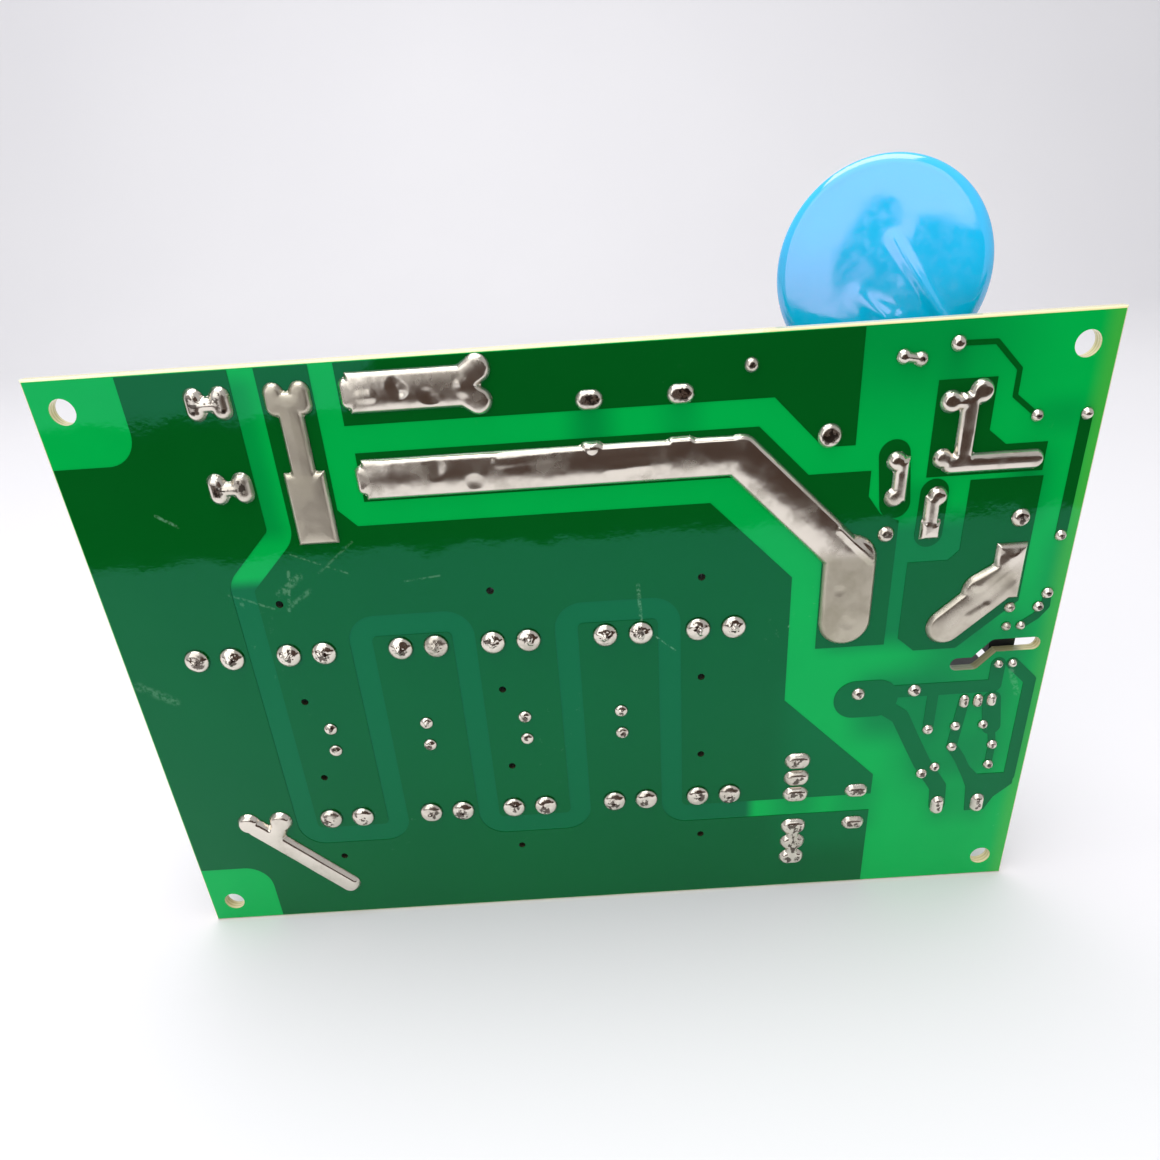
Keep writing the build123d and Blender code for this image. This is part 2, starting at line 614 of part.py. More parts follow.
case_stand = 4.0             # transistor case above the board
case_width, case_thickness, case_height = 10.0, 3.2, 9.2
plate_thickness = 1.3
plate_top = 19.0
plate_hole = 3.6
plate_hole_inset = 2.8
lead_inset = 1.2             # leads in front of the plate's face
plate_face = transistor_y - lead_inset
plate = upright((transistor_x, plate_face - plate_thickness / 2), Rectangle(case_width, plate_thickness),
                plate_top, case_stand)
plate -= (Pos(transistor_x, plate_face, seat - plate_top + plate_hole_inset) * Rot(90, 0, 0)
          * Cylinder(plate_hole / 2, 4 * plate_thickness))
export("transistor_frame", plate, *[post(p, 0.7, 0.5, case_stand) for p in transistor_pins])
export("transistor_case",
       upright((transistor_x, plate_face + case_thickness / 2), Rectangle(case_width, case_thickness),
               case_stand + case_height, case_stand))

# ---------------------------------------------------------------- pin headers
wafer_width = 8.5
wafer_height = 3.2
wall_height = 9.5
wall_thickness = 1.4
post_height = 11.0
post_width = header_lead - 0.2


def header(pins, ways):
    """Wafer with a latch wall along one side; returns the moulding and its posts."""
    (x0, y0), (x1, y1) = pins[0], pins[-1]
    turn = degrees(atan2(y1 - y0, x1 - x0))
    place = Pos((x0 + x1) / 2, (y0 + y1) / 2) * Rot(0, 0, turn)
    length = ways * header_pitch
    wafer = upright((0, 0), Rectangle(length, wafer_width), wafer_height)
    wall = upright((0, (wafer_width - wall_thickness) / 2), Rectangle(length, wall_thickness), wall_height)
    posts = [post(p, post_width, post_width, post_height) for p in pins]
    return place * (wafer + wall) - posts, posts


for name, pins, ways in (("output_header", output_pins, 7), ("auxiliary_header", aux_pins, 3),
                         ("sense_header", sense_pins, 3)):
    moulding, posts = header(pins, ways)
    export(f"{name}_wafer", moulding)
    export(f"{name}_posts", *posts)

# ---------------------------------------------------------------- varistor
varistor_place = (Pos(varistor_x, top(-varistor_lift), seat - varistor_depth)
                  * Rot(-varistor_lean, 0, 0) * Rot(0, -varistor_turn, 0))
varistor_wire = 1.1


def varistor_disc():
    """Dipped disc with a fully rounded rim."""
    disc = Cylinder(varistor_diameter / 2, varistor_thickness)
    return varistor_place * fillet(disc.edges().filter_by(GeomType.CIRCLE), 0.46 * varistor_thickness)


def varistor_lead(hole):
    """Wire from inside the rim down to the level of its hole, then back through the board."""
    across = (hole[0] - varistor_x) / cos(radians(varistor_turn))
    down = (hole[1] - top(-varistor_lift)) / cos(radians(varistor_lean))
    start = (varistor_place * Pos(across, 0.6 * down, 0)).position
    knee = (varistor_place * Pos(across, down, 0)).position
    return wire([start, knee, (*hole, seat - 1.5), (*hole, lead_end)], varistor_wire)


disc = varistor_disc()
export("varistor_disc", disc)
export("varistor_leads", *[varistor_lead(p) - disc for p in (varistor_left_lead, varistor_right_lead)])
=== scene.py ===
"""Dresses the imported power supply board: finishes for every part, drawn solder, and a plain stage."""
import math
from functools import partial

import bmesh
import bpy
import numpy as np
from bpy.props import FloatProperty, PointerProperty, StringProperty
from mathutils import Euler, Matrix, Vector, kdtree, noise


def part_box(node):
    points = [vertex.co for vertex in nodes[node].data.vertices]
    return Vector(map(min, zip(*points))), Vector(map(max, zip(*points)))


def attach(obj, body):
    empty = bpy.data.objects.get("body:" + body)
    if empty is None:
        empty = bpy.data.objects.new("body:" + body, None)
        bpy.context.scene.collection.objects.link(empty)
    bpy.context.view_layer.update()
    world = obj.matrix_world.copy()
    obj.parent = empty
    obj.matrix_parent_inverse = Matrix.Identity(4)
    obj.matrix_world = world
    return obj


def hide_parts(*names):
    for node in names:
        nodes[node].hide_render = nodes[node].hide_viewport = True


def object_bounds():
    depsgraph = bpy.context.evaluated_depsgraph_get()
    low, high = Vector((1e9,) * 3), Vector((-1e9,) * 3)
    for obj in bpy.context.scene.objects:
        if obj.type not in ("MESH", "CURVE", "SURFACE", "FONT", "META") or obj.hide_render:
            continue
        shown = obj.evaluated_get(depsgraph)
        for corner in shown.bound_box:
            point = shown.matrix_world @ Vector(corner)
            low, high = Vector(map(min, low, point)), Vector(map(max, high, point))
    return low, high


bl_info = {
    "name": "Power supply board",
    "version": (1, 0, 0),
    "blender": (4, 5, 0),
    "location": "View3D > Sidebar > Board",
    "description": "Finishes and solder for the packed power supply board",
    "category": "Object",
}

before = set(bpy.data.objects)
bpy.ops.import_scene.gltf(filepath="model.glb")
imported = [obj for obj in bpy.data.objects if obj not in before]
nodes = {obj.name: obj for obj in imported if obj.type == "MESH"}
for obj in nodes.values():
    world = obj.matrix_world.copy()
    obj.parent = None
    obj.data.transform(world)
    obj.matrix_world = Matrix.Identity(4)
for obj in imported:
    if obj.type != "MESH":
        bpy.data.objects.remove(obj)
cad_low, cad_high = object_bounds()

MM = 0.001
BODY = "root"
board_low, board_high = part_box("circuit_board")
solder_face = board_low.y            # board's own front face
foil_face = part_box("solder_side_copper")[0].y    # front of the masked copper, where solder sits


# ---------------------------------------------------------------- nodes
NODES = {                    # short name: node, its settings, the sockets filled in order, its output
    "object": ("ShaderNodeTexCoord", {}, (), "Object"),
    "normal": ("ShaderNodeTexCoord", {}, (), "Normal"),
    "pit": ("ShaderNodeAttribute", {"attribute_name": "pit"}, (), "Fac"),
    "axes": ("ShaderNodeSeparateXYZ", {}, ("Vector",), None),
    "stretch": ("ShaderNodeMapping", {"vector_type": "POINT"}, ("Vector", "Scale"), 0),
    "noise": ("ShaderNodeTexNoise", {}, ("Vector", "Scale", "Detail", "Roughness"), 0),
    "layers": ("ShaderNodeTexWave", {"bands_direction": "Y"}, ("Vector", "Scale", "Distortion", "Detail"), 1),
    "step": ("ShaderNodeMapRange", {"interpolation_type": "SMOOTHSTEP"}, (0, 1, 2, 3, 4), 0),
    "mix": ("ShaderNodeMix", {"data_type": "RGBA"}, (0, 6, 7), 2),
    "bump": ("ShaderNodeBump", {}, ("Height", "Distance", "Strength"), 0),
    "background": ("ShaderNodeBackground", {}, ("Color",), 0),
    "world": ("ShaderNodeOutputWorld", {}, ("Surface",), None),
    "tree_in": ("NodeGroupInput", {}, (), None),
    "choices": ("GeometryNodeCollectionInfo", {}, ("Collection", "Separate Children", "Reset Children"), 0),
    "turn": ("FunctionNodeRandomValue", {"data_type": "FLOAT_VECTOR"}, (0, 1, "Seed"), 0),
    "named": ("GeometryNodeInputNamedAttribute", {"data_type": "FLOAT"}, ("Name",), 0),
    "instances": ("GeometryNodeInstanceOnPoints", {},
                  ("Points", "Instance", "Pick Instance", "Rotation", "Scale"), 0),
    "realize": ("GeometryNodeRealizeInstances", {}, ("Geometry",), 0),
    "paint": ("GeometryNodeSetMaterial", {}, ("Geometry", "Material"), 0),
    "tree_out": ("NodeGroupOutput", {}, ("Geometry",), None),
}


def fill(socket, value):
    """Link a socket to another one, or give it a constant."""
    if isinstance(value, bpy.types.NodeSocket):
        socket.id_data.links.new(value, socket)
    else:
        socket.default_value = value


def add_node(tree, kind, *values, **settings):
    """Add one node with its settings and links; a name that NODES doesn't list is an arithmetic step."""
    arithmetic = ("ShaderNodeMath", {"operation": kind}, (0, 1, 2), 0)
    type_name, preset, sockets, output = NODES.get(kind, arithmetic)
    node = tree.nodes.new(type_name)
    for key, value in {**preset, **settings}.items():
        setattr(node, key, value)
    for socket, value in zip(sockets, values):
        fill(node.inputs[socket], value)
    return node.outputs if output is None else node.outputs[output]


def linear(code):
    """sRGB hex colour as linear RGBA."""
    parts = [int(code[i:i + 2], 16) / 255 for i in (1, 3, 5)]
    return tuple(c / 12.92 if c <= 0.04045 else ((c + 0.055) / 1.055) ** 2.4 for c in parts) + (1.0,)


def start_material(name):
    """New material with its shader, the object coordinates that patterns read, and its own add_node."""
    material = bpy.data.materials.new(name)
    material.use_nodes = True
    add = partial(add_node, material.node_tree)
    return material, material.node_tree.nodes["Principled BSDF"], add("object"), add


def set_shader(shader, **values):
    """Constants and patterns on the shader's own sockets."""
    for key, value in values.items():
        fill(shader.inputs[key.replace("_", " ")], value)


def raise_surface(add, shader, height, depth, strength=1.0):
    """Bump of a real depth in metres, added to the shader's normal."""
    bump = add("bump", height, depth, strength)
    before = shader.inputs["Normal"].links
    if before:
        fill(bump.node.inputs["Normal"], before[0].from_socket)
    set_shader(shader, Normal=bump)


def at(x, y):
    """Place on the solder face, in mm from the board's top left corner as seen there."""
    return Vector((board_low.x + x * MM, 0, board_high.z - y * MM))


def inside(add, place, low, high, border):
    """One inside a box seen from the solder side, falling to nothing over a soft border."""
    x, _, z = add("axes", place)
    share = 1.0
    for value, a, b in ((x, low.x, high.x), (z, low.z, high.z)):
        enter = add("step", value, a - border, a + border)
        leave = add("step", value, b - border, b + border, 1.0, 0.0)
        share = add("MULTIPLY", share, add("MULTIPLY", enter, leave))
    return share


def tinted(add, place, tone, low, high, border, share, colour):
    """A tone that turns by a share to another colour inside a soft box."""
    amount = add("MULTIPLY", inside(add, place, low, high, border), share)
    return add("mix", amount, tone, colour)


# ---------------------------------------------------------------- pieces
def dress(name, material):
    """Give a CAD node its finish."""
    mesh = nodes[name].data
    mesh.materials.clear()
    mesh.materials.append(material)


def starting(prefix):
    """CAD nodes whose names start the same way, in order."""
    return sorted(name for name in nodes if name.startswith(prefix))


def link_new(name, mesh):
    """New object in the scene, at the origin."""
    thing = bpy.data.objects.new(name, mesh)
    bpy.context.scene.collection.objects.link(thing)
    return thing


def finish_piece(name, mesh, slot, material, *replaced):
    """Turn a finished mesh into a piece of the object."""
    piece = link_new(name, mesh)
    mesh.materials.clear()
    mesh.materials.append(material)
    mesh.polygons.foreach_set("use_smooth", [True] * len(mesh.polygons))
    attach(piece, BODY)
    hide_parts(*replaced)


def face_outwards(mesh):
    """Recalculate the normals of a closed mesh."""
    bm = bmesh.new()
    bm.from_mesh(mesh)
    bmesh.ops.recalc_face_normals(bm, faces=bm.faces)
    bm.to_mesh(mesh)
    bm.free()


# ---------------------------------------------------------------- board finishes
SCRATCHES = (                # from and to in mm from the top left corner, half width, share
    (30.5, 37.0, 34.5, 34.0, 0.9, 0.5), (31.5, 39.5, 36.0, 36.5, 0.6, 0.4),
    (33.0, 33.0, 31.5, 40.0, 0.4, 0.5), (22.0, 36.5, 29.0, 39.5, 0.3, 0.5),
    (34.0, 30.0, 43.0, 34.0, 0.25, 0.45), (14.0, 22.0, 17.0, 24.0, 0.4, 0.6),
    (91.3, 39.5, 91.6, 46.0, 0.45, 0.75), (93.5, 49.0, 97.5, 52.5, 0.22, 0.9),
    (1.5, 53.0, 7.0, 56.5, 1.3, 0.35), (38.0, 33.5, 44.5, 28.5, 0.3, 0.3),
    (158.5, 61.0, 160.5, 66.0, 0.8, 0.45), (52.0, 36.0, 58.0, 35.4, 0.25, 0.4),
)
SHADES = (                   # parts behind the board: share of the light they keep back, border in mm
    ("relay_case", 0.92, 3), ("varistor_disc", 0.50, 9), ("optocoupler", 0.8, 5),
    ("bias_resistor_1", 0.7, 4), ("bias_resistor_2", 0.7, 4), ("bias_resistor_3", 0.7, 4),
    ("trim_resistor", 0.7, 4), ("edge_resistor", 0.7, 4), ("flyback_diode", 0.7, 4), ("clamp_diode", 0.4, 3),
    ("spark_capacitor", 0.7, 4), ("snubber_capacitor", 0.4, 2), ("tab_terminal_1", 0.5, 7),
    ("tab_terminal_2", 0.5, 7), ("tab_terminal_3", 0.5, 7), ("tab_terminal_4", 0.5, 7),
    ("film_capacitor_1", 0.55, 3), ("film_capacitor_2", 0.30, 3), ("transistor_case", 0.7, 4),
    ("output_header_wafer", 0.40, 3), ("auxiliary_header_wafer", 0.35, 3), ("sense_header_wafer", 0.35, 3),
)
CROWDED = ("optocoupler", "transistor_case", "bias_resistor_1", "bias_resistor_3")


def handling_marks(add, place):
    """Fine scratches and smears of dried flux, as a share of the surface."""
    smear = add("step", add("noise", place, 1 / (22 * MM), 3.0), 0.60, 0.78)
    fleck = add("step", add("noise", place, 1 / (1.6 * MM), 4.0, 0.7), 0.60, 0.74)
    return add("MULTIPLY", smear, fleck)


def scratches(add, place):
    """Scored lines and dragged flux in the places where the board was handled, as a share."""
    x, _, z = add("axes", place)
    fleck = add("step", add("noise", place, 1 / (0.9 * MM), 3.0, 0.7), 0.40, 0.62)
    total = 0.0
    for x0, y0, x1, y1, width, depth in SCRATCHES:
        start, along = at(x0, y0), at(x1, y1) - at(x0, y0)
        dx, dz = add("SUBTRACT", x, start.x), add("SUBTRACT", z, start.z)
        dot = add("MULTIPLY_ADD", dz, along.z, add("MULTIPLY", dx, along.x))
        share = add("MULTIPLY", dot, 1 / along.length_squared, use_clamp=True)
        away_x = add("MULTIPLY_ADD", share, -along.x, dx)
        away_z = add("MULTIPLY_ADD", share, -along.z, dz)
        square = add("MULTIPLY_ADD", away_x, away_x, add("MULTIPLY", away_z, away_z))
        line = add("step", add("SQRT", square), width * MM, 0.25 * width * MM, 0.0, depth)
        total = add("MAXIMUM", total, line)
    return add("MULTIPLY", total, fleck)


def mask_surface(add, shader, place, settings):
    """Glossy screened solder mask: slight orange peel, marks that dull it."""
    marks = add("MAXIMUM", handling_marks(add, place), scratches(add, place))
    rough = add("step", marks, 0.0, 1.0, settings.mask_gloss, 0.42)
    raise_surface(add, shader, add("noise", place, 1 / (7 * MM), 1.0), settings.orange_peel)
    raise_surface(add, shader, add("noise", place, 1 / (0.9 * MM), 2.0), settings.orange_peel * 0.12)
    set_shader(shader, Roughness=rough, IOR=1.5, Specular_IOR_Level=0.55,
               Specular_Tint=linear(settings.mask_sheen))
    return marks


def masked_copper():
    """Green liquid solder mask over copper: deep green, with the copper's warmth only just through it."""
    settings = bpy.context.scene.board_finish
    material, shader, place, add = start_material("green_mask_over_copper")
    marks = mask_surface(add, shader, place, settings)
    cloud = add("noise", place, 1 / (30 * MM), 2.0)
    tone = add("mix", cloud, linear(settings.mask_on_copper_dark), linear(settings.mask_on_copper))
    # narrow tracks look paler, because light in the laminate reaches under them from both sides
    tone = tinted(add, place, tone, at(118, 100), at(163, 60), 4 * MM, 0.40, linear(settings.mask_in_shade))
    tone = add("mix", add("MULTIPLY", marks, 0.5), tone, linear("#8fc09a"))
    set_shader(shader, Base_Color=tone)
    return material


def masked_laminate():
    """Green mask on bare glass-epoxy: light comes through it, so it is bright; cream where it is cut."""
    settings = bpy.context.scene.board_finish
    material, shader, place, add = start_material("green_mask_on_glass_epoxy")
    marks = mask_surface(add, shader, place, settings)
    cloud = add("noise", place, 1 / (16 * MM), 2.0)
    tone = add("mix", cloud, linear(settings.mask_on_laminate_dark), linear(settings.mask_on_laminate))
    # what stands behind the board keeps the light from coming through it
    shade = linear(settings.mask_in_shade)
    tone = tinted(add, place, tone, *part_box("component_side_copper"), 1.3 * MM, 0.93,
                  linear(settings.mask_over_plane))
    for name, share, border in SHADES:
        tone = tinted(add, place, tone, *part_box(name), border * MM, share, shade)
    # light that travels inside the glass leaves at the side edge and warms the green there
    side = add("step", add("axes", place)[0], board_high.x - 4 * MM, board_high.x - 0.5 * MM)
    tone = add("mix", add("MULTIPLY", side, 0.42), tone, linear("#5aaa30"))
    # the ground between the small parts lies in their common shade, as do two more patches
    crowded = [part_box(name) for name in CROWDED]
    ground_low = Vector(min(box[0][i] for box in crowded) - 3 * MM for i in range(3))
    ground_high = Vector(max(box[1][i] for box in crowded) + 3 * MM for i in range(3))
    for low, high, border, share in ((ground_low, ground_high, 8, 0.62), (at(131, 74), at(148, 60), 4, 0.7),
                                     (at(26, 27), at(34, 2), 2, 0.5)):
        tone = tinted(add, place, tone, low, high, border * MM, share, shade)
    tone = add("mix", add("MULTIPLY", marks, 0.3), tone, linear("#9fd8b0"))
    # cut edges, bevels and hole walls show the laminate itself, layered along its thickness
    facing = add("ABSOLUTE", add("axes", add("normal"))[1])
    cut = add("step", facing, 0.97, 0.90)
    layers = add("layers", place, 1 / (2.2 * MM), 0.6, 2.0)
    core = add("mix", layers, linear(settings.laminate_cut), linear("#efe6bd"))
    # the locating holes under the cans are blind, so their walls are painted near black as shade, and the
    # slot's walls are painted a darker grey-green as shade
    core = tinted(add, place, core, at(12, 106), at(118, 4), 0.2 * MM, 0.94, linear("#120d06"))
    core = tinted(add, place, core, at(144, 68), at(159.5, 56), 1 * MM, 0.75, linear("#6f7458"))
    set_shader(shader, Base_Color=add("mix", cut, tone, core))
    return material


def bright_solder(name, roughness, speckle, dull=()):
    """Tin solder as it set: bright metal, rough and frosted where it cooled slowly, painted darker and made
    rougher inside the given boxes.
    """
    settings = bpy.context.scene.board_finish
    material, shader, place, add = start_material(name)
    frost = add("step", add("noise", place, 1 / (5 * MM), 3.0, 0.6), 0.42, 0.74)
    tone = add("mix", frost, linear(settings.solder_bright), linear(settings.solder_dull))
    rough = add("MULTIPLY_ADD", frost, speckle, roughness)
    # burnt flux left round a lead's tip: brown, broken up, and duller than the tin
    crumbs = add("step", add("noise", place, 1 / (0.8 * MM), 2.0, 0.6), 0.36, 0.62)
    burnt = add("step", add("MULTIPLY", add("pit"), crumbs), 0.18, 0.42)
    tone = add("mix", add("MULTIPLY", burnt, 0.85), tone, linear("#33231c"))
    # inside each given box the tin is painted darker and made rougher
    for left, top, right, bottom, darker_share in dull:
        share = inside(add, place, at(left, bottom), at(right, top), 1.6 * MM)
        share = add("MULTIPLY", share, darker_share)
        tone = add("mix", share, tone, linear("#a49d86"))
        rough = add("MULTIPLY_ADD", share, 0.30, rough)
    raise_surface(add, shader, add("noise", place, 1 / (1.6 * MM), 1.0), 0.014 * MM)
    crystals = add("MULTIPLY", add("noise", place, 1 / (0.5 * MM), 2.0), frost)
    raise_surface(add, shader, crystals, 0.006 * MM)
    set_shader(shader, Base_Color=tone, Roughness=rough, Metallic=1.0)
    return material


# ---------------------------------------------------------------- solder meshes
SAME = 1e-6                  # corners this near each other are one, in metres
RIM_SPACING = 0.12 * MM      # of the points along a solder run's foot
FLAT = 0.9                   # a face that looks this squarely along Y is part of a flat side


def joined(mesh):
    """Working copy of a CAD mesh whose loose triangles share their corners."""
    bm = bmesh.new()
    bm.from_mesh(mesh)
    bmesh.ops.remove_doubles(bm, verts=bm.verts, dist=SAME)
    return bm


def plain_mesh(work):
    """Mesh of an object after its modifiers; the object itself is removed."""
    ready = bpy.context.evaluated_depsgraph_get()
    mesh = bpy.data.meshes.new_from_object(work.evaluated_get(ready))
    bpy.data.objects.remove(work)
    return mesh


def outline_points(mesh, base):
    """Points along the foot of a solder run, where it meets the copper, at close spacing."""
    found = []
    bm = joined(mesh)
    for edge in bm.edges:
        a, b = (v.co for v in edge.verts)
        if max(abs(a.y - base), abs(b.y - base)) > 10 * SAME:
            continue
        if all(abs(face.normal.y) > FLAT for face in edge.link_faces):
            continue
        steps = max(1, int((b - a).length / RIM_SPACING))
        found += [a.lerp(b, i / steps) for i in range(steps + 1)]
    bm.free()
    return found


def from_segment(spot, start, end):
    """Distance of a spot from a straight stretch."""
    along = end - start
    share = (spot - start).dot(along) / max(along.length_squared, 1e-12)
    return (spot - start - along * min(1.0, max(0.0, share))).length


def set_bead(node, width, height, reach, crown, features=()):
    """A solder run redrawn as set metal: a round flank from its outline, then a low crown."""
    form = bpy.context.scene.solder_form
    source = nodes[node].data
    work = link_new("work", source.copy())
    remesh = work.modifiers.new("remesh", "REMESH")
    remesh.mode = "VOXEL"
    remesh.voxel_size = form.cell
    mesh = plain_mesh(work)
    thickness = foil_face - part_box(node)[0].y
    rim = outline_points(source, foil_face)
    nearest = kdtree.KDTree(len(rim))
    for index, point in enumerate(rim):
        nearest.insert((point.x, 0, point.z), index)
    nearest.balance()
    pits = []
    for vertex in mesh.vertices:
        x, y, z = vertex.co
        raised = min(1.0, max(0.0, (foil_face - y) / thickness))
        depth = nearest.find((x, 0, z))[2]
        flank = math.sqrt(1 - (1 - min(1.0, depth / width)) ** 2)
        rise = crown * (1 - (1 - min(1.0, depth / reach)) ** 2)
        spot = Vector((x, 0, z))
        wave = noise.noise(spot / form.wave_length) * form.wave_depth
        wave += noise.noise(spot / (0.3 * form.wave_length)) * 0.2 * form.wave_depth
        for start, end, radius, swell in features:
            away = from_segment(spot, start, end) / radius
            if away < 1:
                wave += swell * (1 - away * away) ** 2
        vertex.co.y = foil_face - raised * flank * (height + rise + wave)
        lead = min(1.0, max(0.0, depth / reach - 0.30) * 2.2)      # nothing at the rim, one round the lead
        pits.append(lead * (noise.noise(spot / (1.5 * MM)) + 0.55))
    pit = mesh.attributes.new("pit", "FLOAT", "POINT")
    if node in PITTED:
        pit.data.foreach_set("value", pits)
    return mesh


def joint_places(node):
    """Points at the round joints of one node, each with its joint's radius."""
    bm = joined(nodes[node].data)
    seen, spots = set(), []
    for vertex in bm.verts:
        if vertex in seen:
            continue
        group, island = [vertex], []
        seen.add(vertex)
        while group:
            one = group.pop()
            island.append(one.co.copy())
            for edge in one.link_edges:
                other = edge.other_vert(one)
                if other not in seen:
                    seen.add(other)
                    group.append(other)
        low = Vector(min(c[i] for c in island) for i in range(3))
        high = Vector(max(c[i] for c in island) for i in range(3))
        spots.append(((low.x + high.x) / 2, (low.z + high.z) / 2, (high.x - low.x) / 2))
    bm.free()
    points = bpy.data.meshes.new("spots")
    points.from_pydata([(x, foil_face, z) for x, z, _ in sorted(spots)], [], [])
    radii = points.attributes.new("radius", "FLOAT", "POINT")
    radii.data.foreach_set("value", [r for _, _, r in sorted(spots)])
    return points


PIT_SPREADS = (0.22, 0.10, 0.30, 0.05, 0.16, 0.26)     # of the burnt flux on each kind of dome


def disc_faces(start, rings, sides):
    """Faces of a round sheet whose points are a centre and then rings of points."""
    faces = []
    for side in range(sides):
        after = (side + 1) % sides
        faces.append((start, start + 1 + side, start + 1 + after))
        for ring in range(rings - 1):
            a = start + 1 + ring * sides
            faces.append((a + side, a + sides + side, a + sides + after, a + after))
    return faces


def dome_mesh(seed, height, rough):
    """Solder dome of unit radius on the copper: round flank, a lead's tip under the skin, dimples."""
    rings, sides = 14, 36
    vertices = [(0, 0, 0)]
    for ring in range(1, rings + 1):
        r = ring / rings
        for side in range(sides):
            angle = 2 * math.pi * side / sides
            vertices.append((r * math.cos(angle), 0, r * math.sin(angle)))
    foot = [1 + (rings - 1) * sides + side for side in reversed(range(sides))]
    shaped = []
    for x, _, z in vertices:
        r = min(1.0, math.hypot(x, z))
        wave = noise.noise(Vector((x * 1.7, seed * 5.1, z * 1.7))) * 0.16
        wave += noise.noise(Vector((x * 4.5, seed * 3.3, z * 4.5))) * rough
        tip = 0.22 * math.exp(-((x - 0.1 * math.sin(seed)) ** 2 + (z - 0.1 * math.cos(seed)) ** 2) / 0.05)
        rise = math.sqrt(max(0.0, 1 - r ** 2.2)) * (height + (wave + tip * (rough > 0.1)) * (1 - r))
        shaped.append((x, -rise, z))
    mesh = bpy.data.meshes.new("dome")
    mesh.from_pydata(shaped, [], [*disc_faces(0, rings, sides), foot])
    pit = mesh.attributes.new("pit", "FLOAT", "POINT")
    pit.data.foreach_set("value", [math.exp(-((x - 0.08) ** 2 + (z - 0.22) ** 2) / PIT_SPREADS[seed])
                                   for x, _, z in shaped])
    face_outwards(mesh)
    return mesh


def scatter_tree(domes, material):
    """Geometry Nodes: one of several domes on each point, sized by its radius and turned at random."""
    tree = bpy.data.node_groups.new("solder_domes", "GeometryNodeTree")
    tree.interface.new_socket("Geometry", in_out="INPUT", socket_type="NodeSocketGeometry")
    tree.interface.new_socket("Seed", in_out="INPUT", socket_type="NodeSocketInt")
    tree.interface.new_socket("Geometry", in_out="OUTPUT", socket_type="NodeSocketGeometry")
    add = partial(add_node, tree)
    source = add("tree_in")
    collection = bpy.data.collections.new("domes")
    for dome in domes:
        collection.objects.link(dome)
    choices = add("choices", collection, True, True)
    turn = add("turn", (0, 0, 0), (0, 2 * math.pi, 0), source["Seed"])
    place = add("instances", source["Geometry"], choices, True, turn, add("named", "radius"))
    add("tree_out", add("paint", add("realize", place), material))
    return tree


def baked(points, group, seed):
    """Plain mesh of a point set after its Geometry Nodes tree."""
    work = link_new("work", points)
    modifier = work.modifiers.new("domes", "NODES")
    modifier.node_group = group
    sockets = {s.name: s.identifier for s in group.interface.items_tree if s.in_out == "INPUT"}
    modifier[sockets["Seed"]] = seed
    return plain_mesh(work)


# ---------------------------------------------------------------- finishes of the parts
def glossy_dip(name, colour, deep, roughness, waves, gloss=1.5, coat=0.9, tint="#ffffff"):
    """Dipped or lacquered epoxy: a thick glossy skin whose colour pools a little deeper in places."""
    material, shader, place, add = start_material(name)
    pool = add("noise", place, 1 / (9 * MM), 2.0)
    raise_surface(add, shader, add("noise", place, 1 / (4 * MM), 1.0), waves)
    fine = add("noise", place, 1 / (1.5 * MM), 3.0)
    set_shader(shader, Base_Color=add("mix", pool, linear(deep), linear(colour)),
               Roughness=add("step", fine, 0.3, 0.8, roughness, roughness + 0.12),
               IOR=gloss, Specular_Tint=linear(tint), Coat_Weight=coat, Coat_Roughness=0.05, Coat_IOR=1.5)
    return material


def moulded(name, colour, worn, roughness, texture=0.35):
    """Moulded plastic: even colour, a spark-eroded texture and slightly rubbed tone."""
    material, shader, place, add = start_material(name)
    rub = add("step", add("noise", place, 1 / (6 * MM), 3.0), 0.45, 0.75)
    raise_surface(add, shader, add("noise", place, 1 / (texture * MM), 2.0), 0.02 * MM, 0.6)
    fine = add("noise", place, 1 / (2 * MM), 2.0)
    set_shader(shader, Base_Color=add("mix", rub, linear(colour), linear(worn)),
               Roughness=add("step", fine, 0.2, 0.8, roughness, roughness + 0.1), IOR=1.5)
    return material


def tin_plate(name, colour="#d6d4cf"):
    """Tin-plated lead or pin: bright metal with drawing lines and faint oxide."""
    material, shader, place, add = start_material(name)
    oxide = add("step", add("noise", place, 1 / (2.5 * MM), 3.0), 0.45, 0.75)
    lines = add("stretch", place, (1.0, 0.06, 1.0))
    raise_surface(add, shader, add("noise", lines, 1 / (0.25 * MM), 2.0), 0.02 * MM, 0.5)
    set_shader(shader, Base_Color=add("mix", oxide, linear(colour), linear("#a39d90")),
               Roughness=add("step", oxide, 0.0, 1.0, 0.2, 0.42), Metallic=1.0)
    return material


def off_board(add, place):
    """One where a part stands clear of the board, nothing where its leads run down to it."""
    stand = add("SUBTRACT", add("axes", place)[1], board_high.y)
    return add("step", stand, 0.35 * MM, 0.40 * MM)


def with_leads(material):
    """Let a body's finish end at the board, where the same solid goes on as tinned leads."""
    add = partial(add_node, material.node_tree)
    shader = material.node_tree.nodes["Principled BSDF"]
    body = off_board(add, add("object"))
    tone = shader.inputs["Base Color"].links[0].from_socket
    set_shader(shader, Base_Color=add("mix", body, linear("#cfccc4"), tone),
               Metallic=add("SUBTRACT", 1.0, body))
    return material


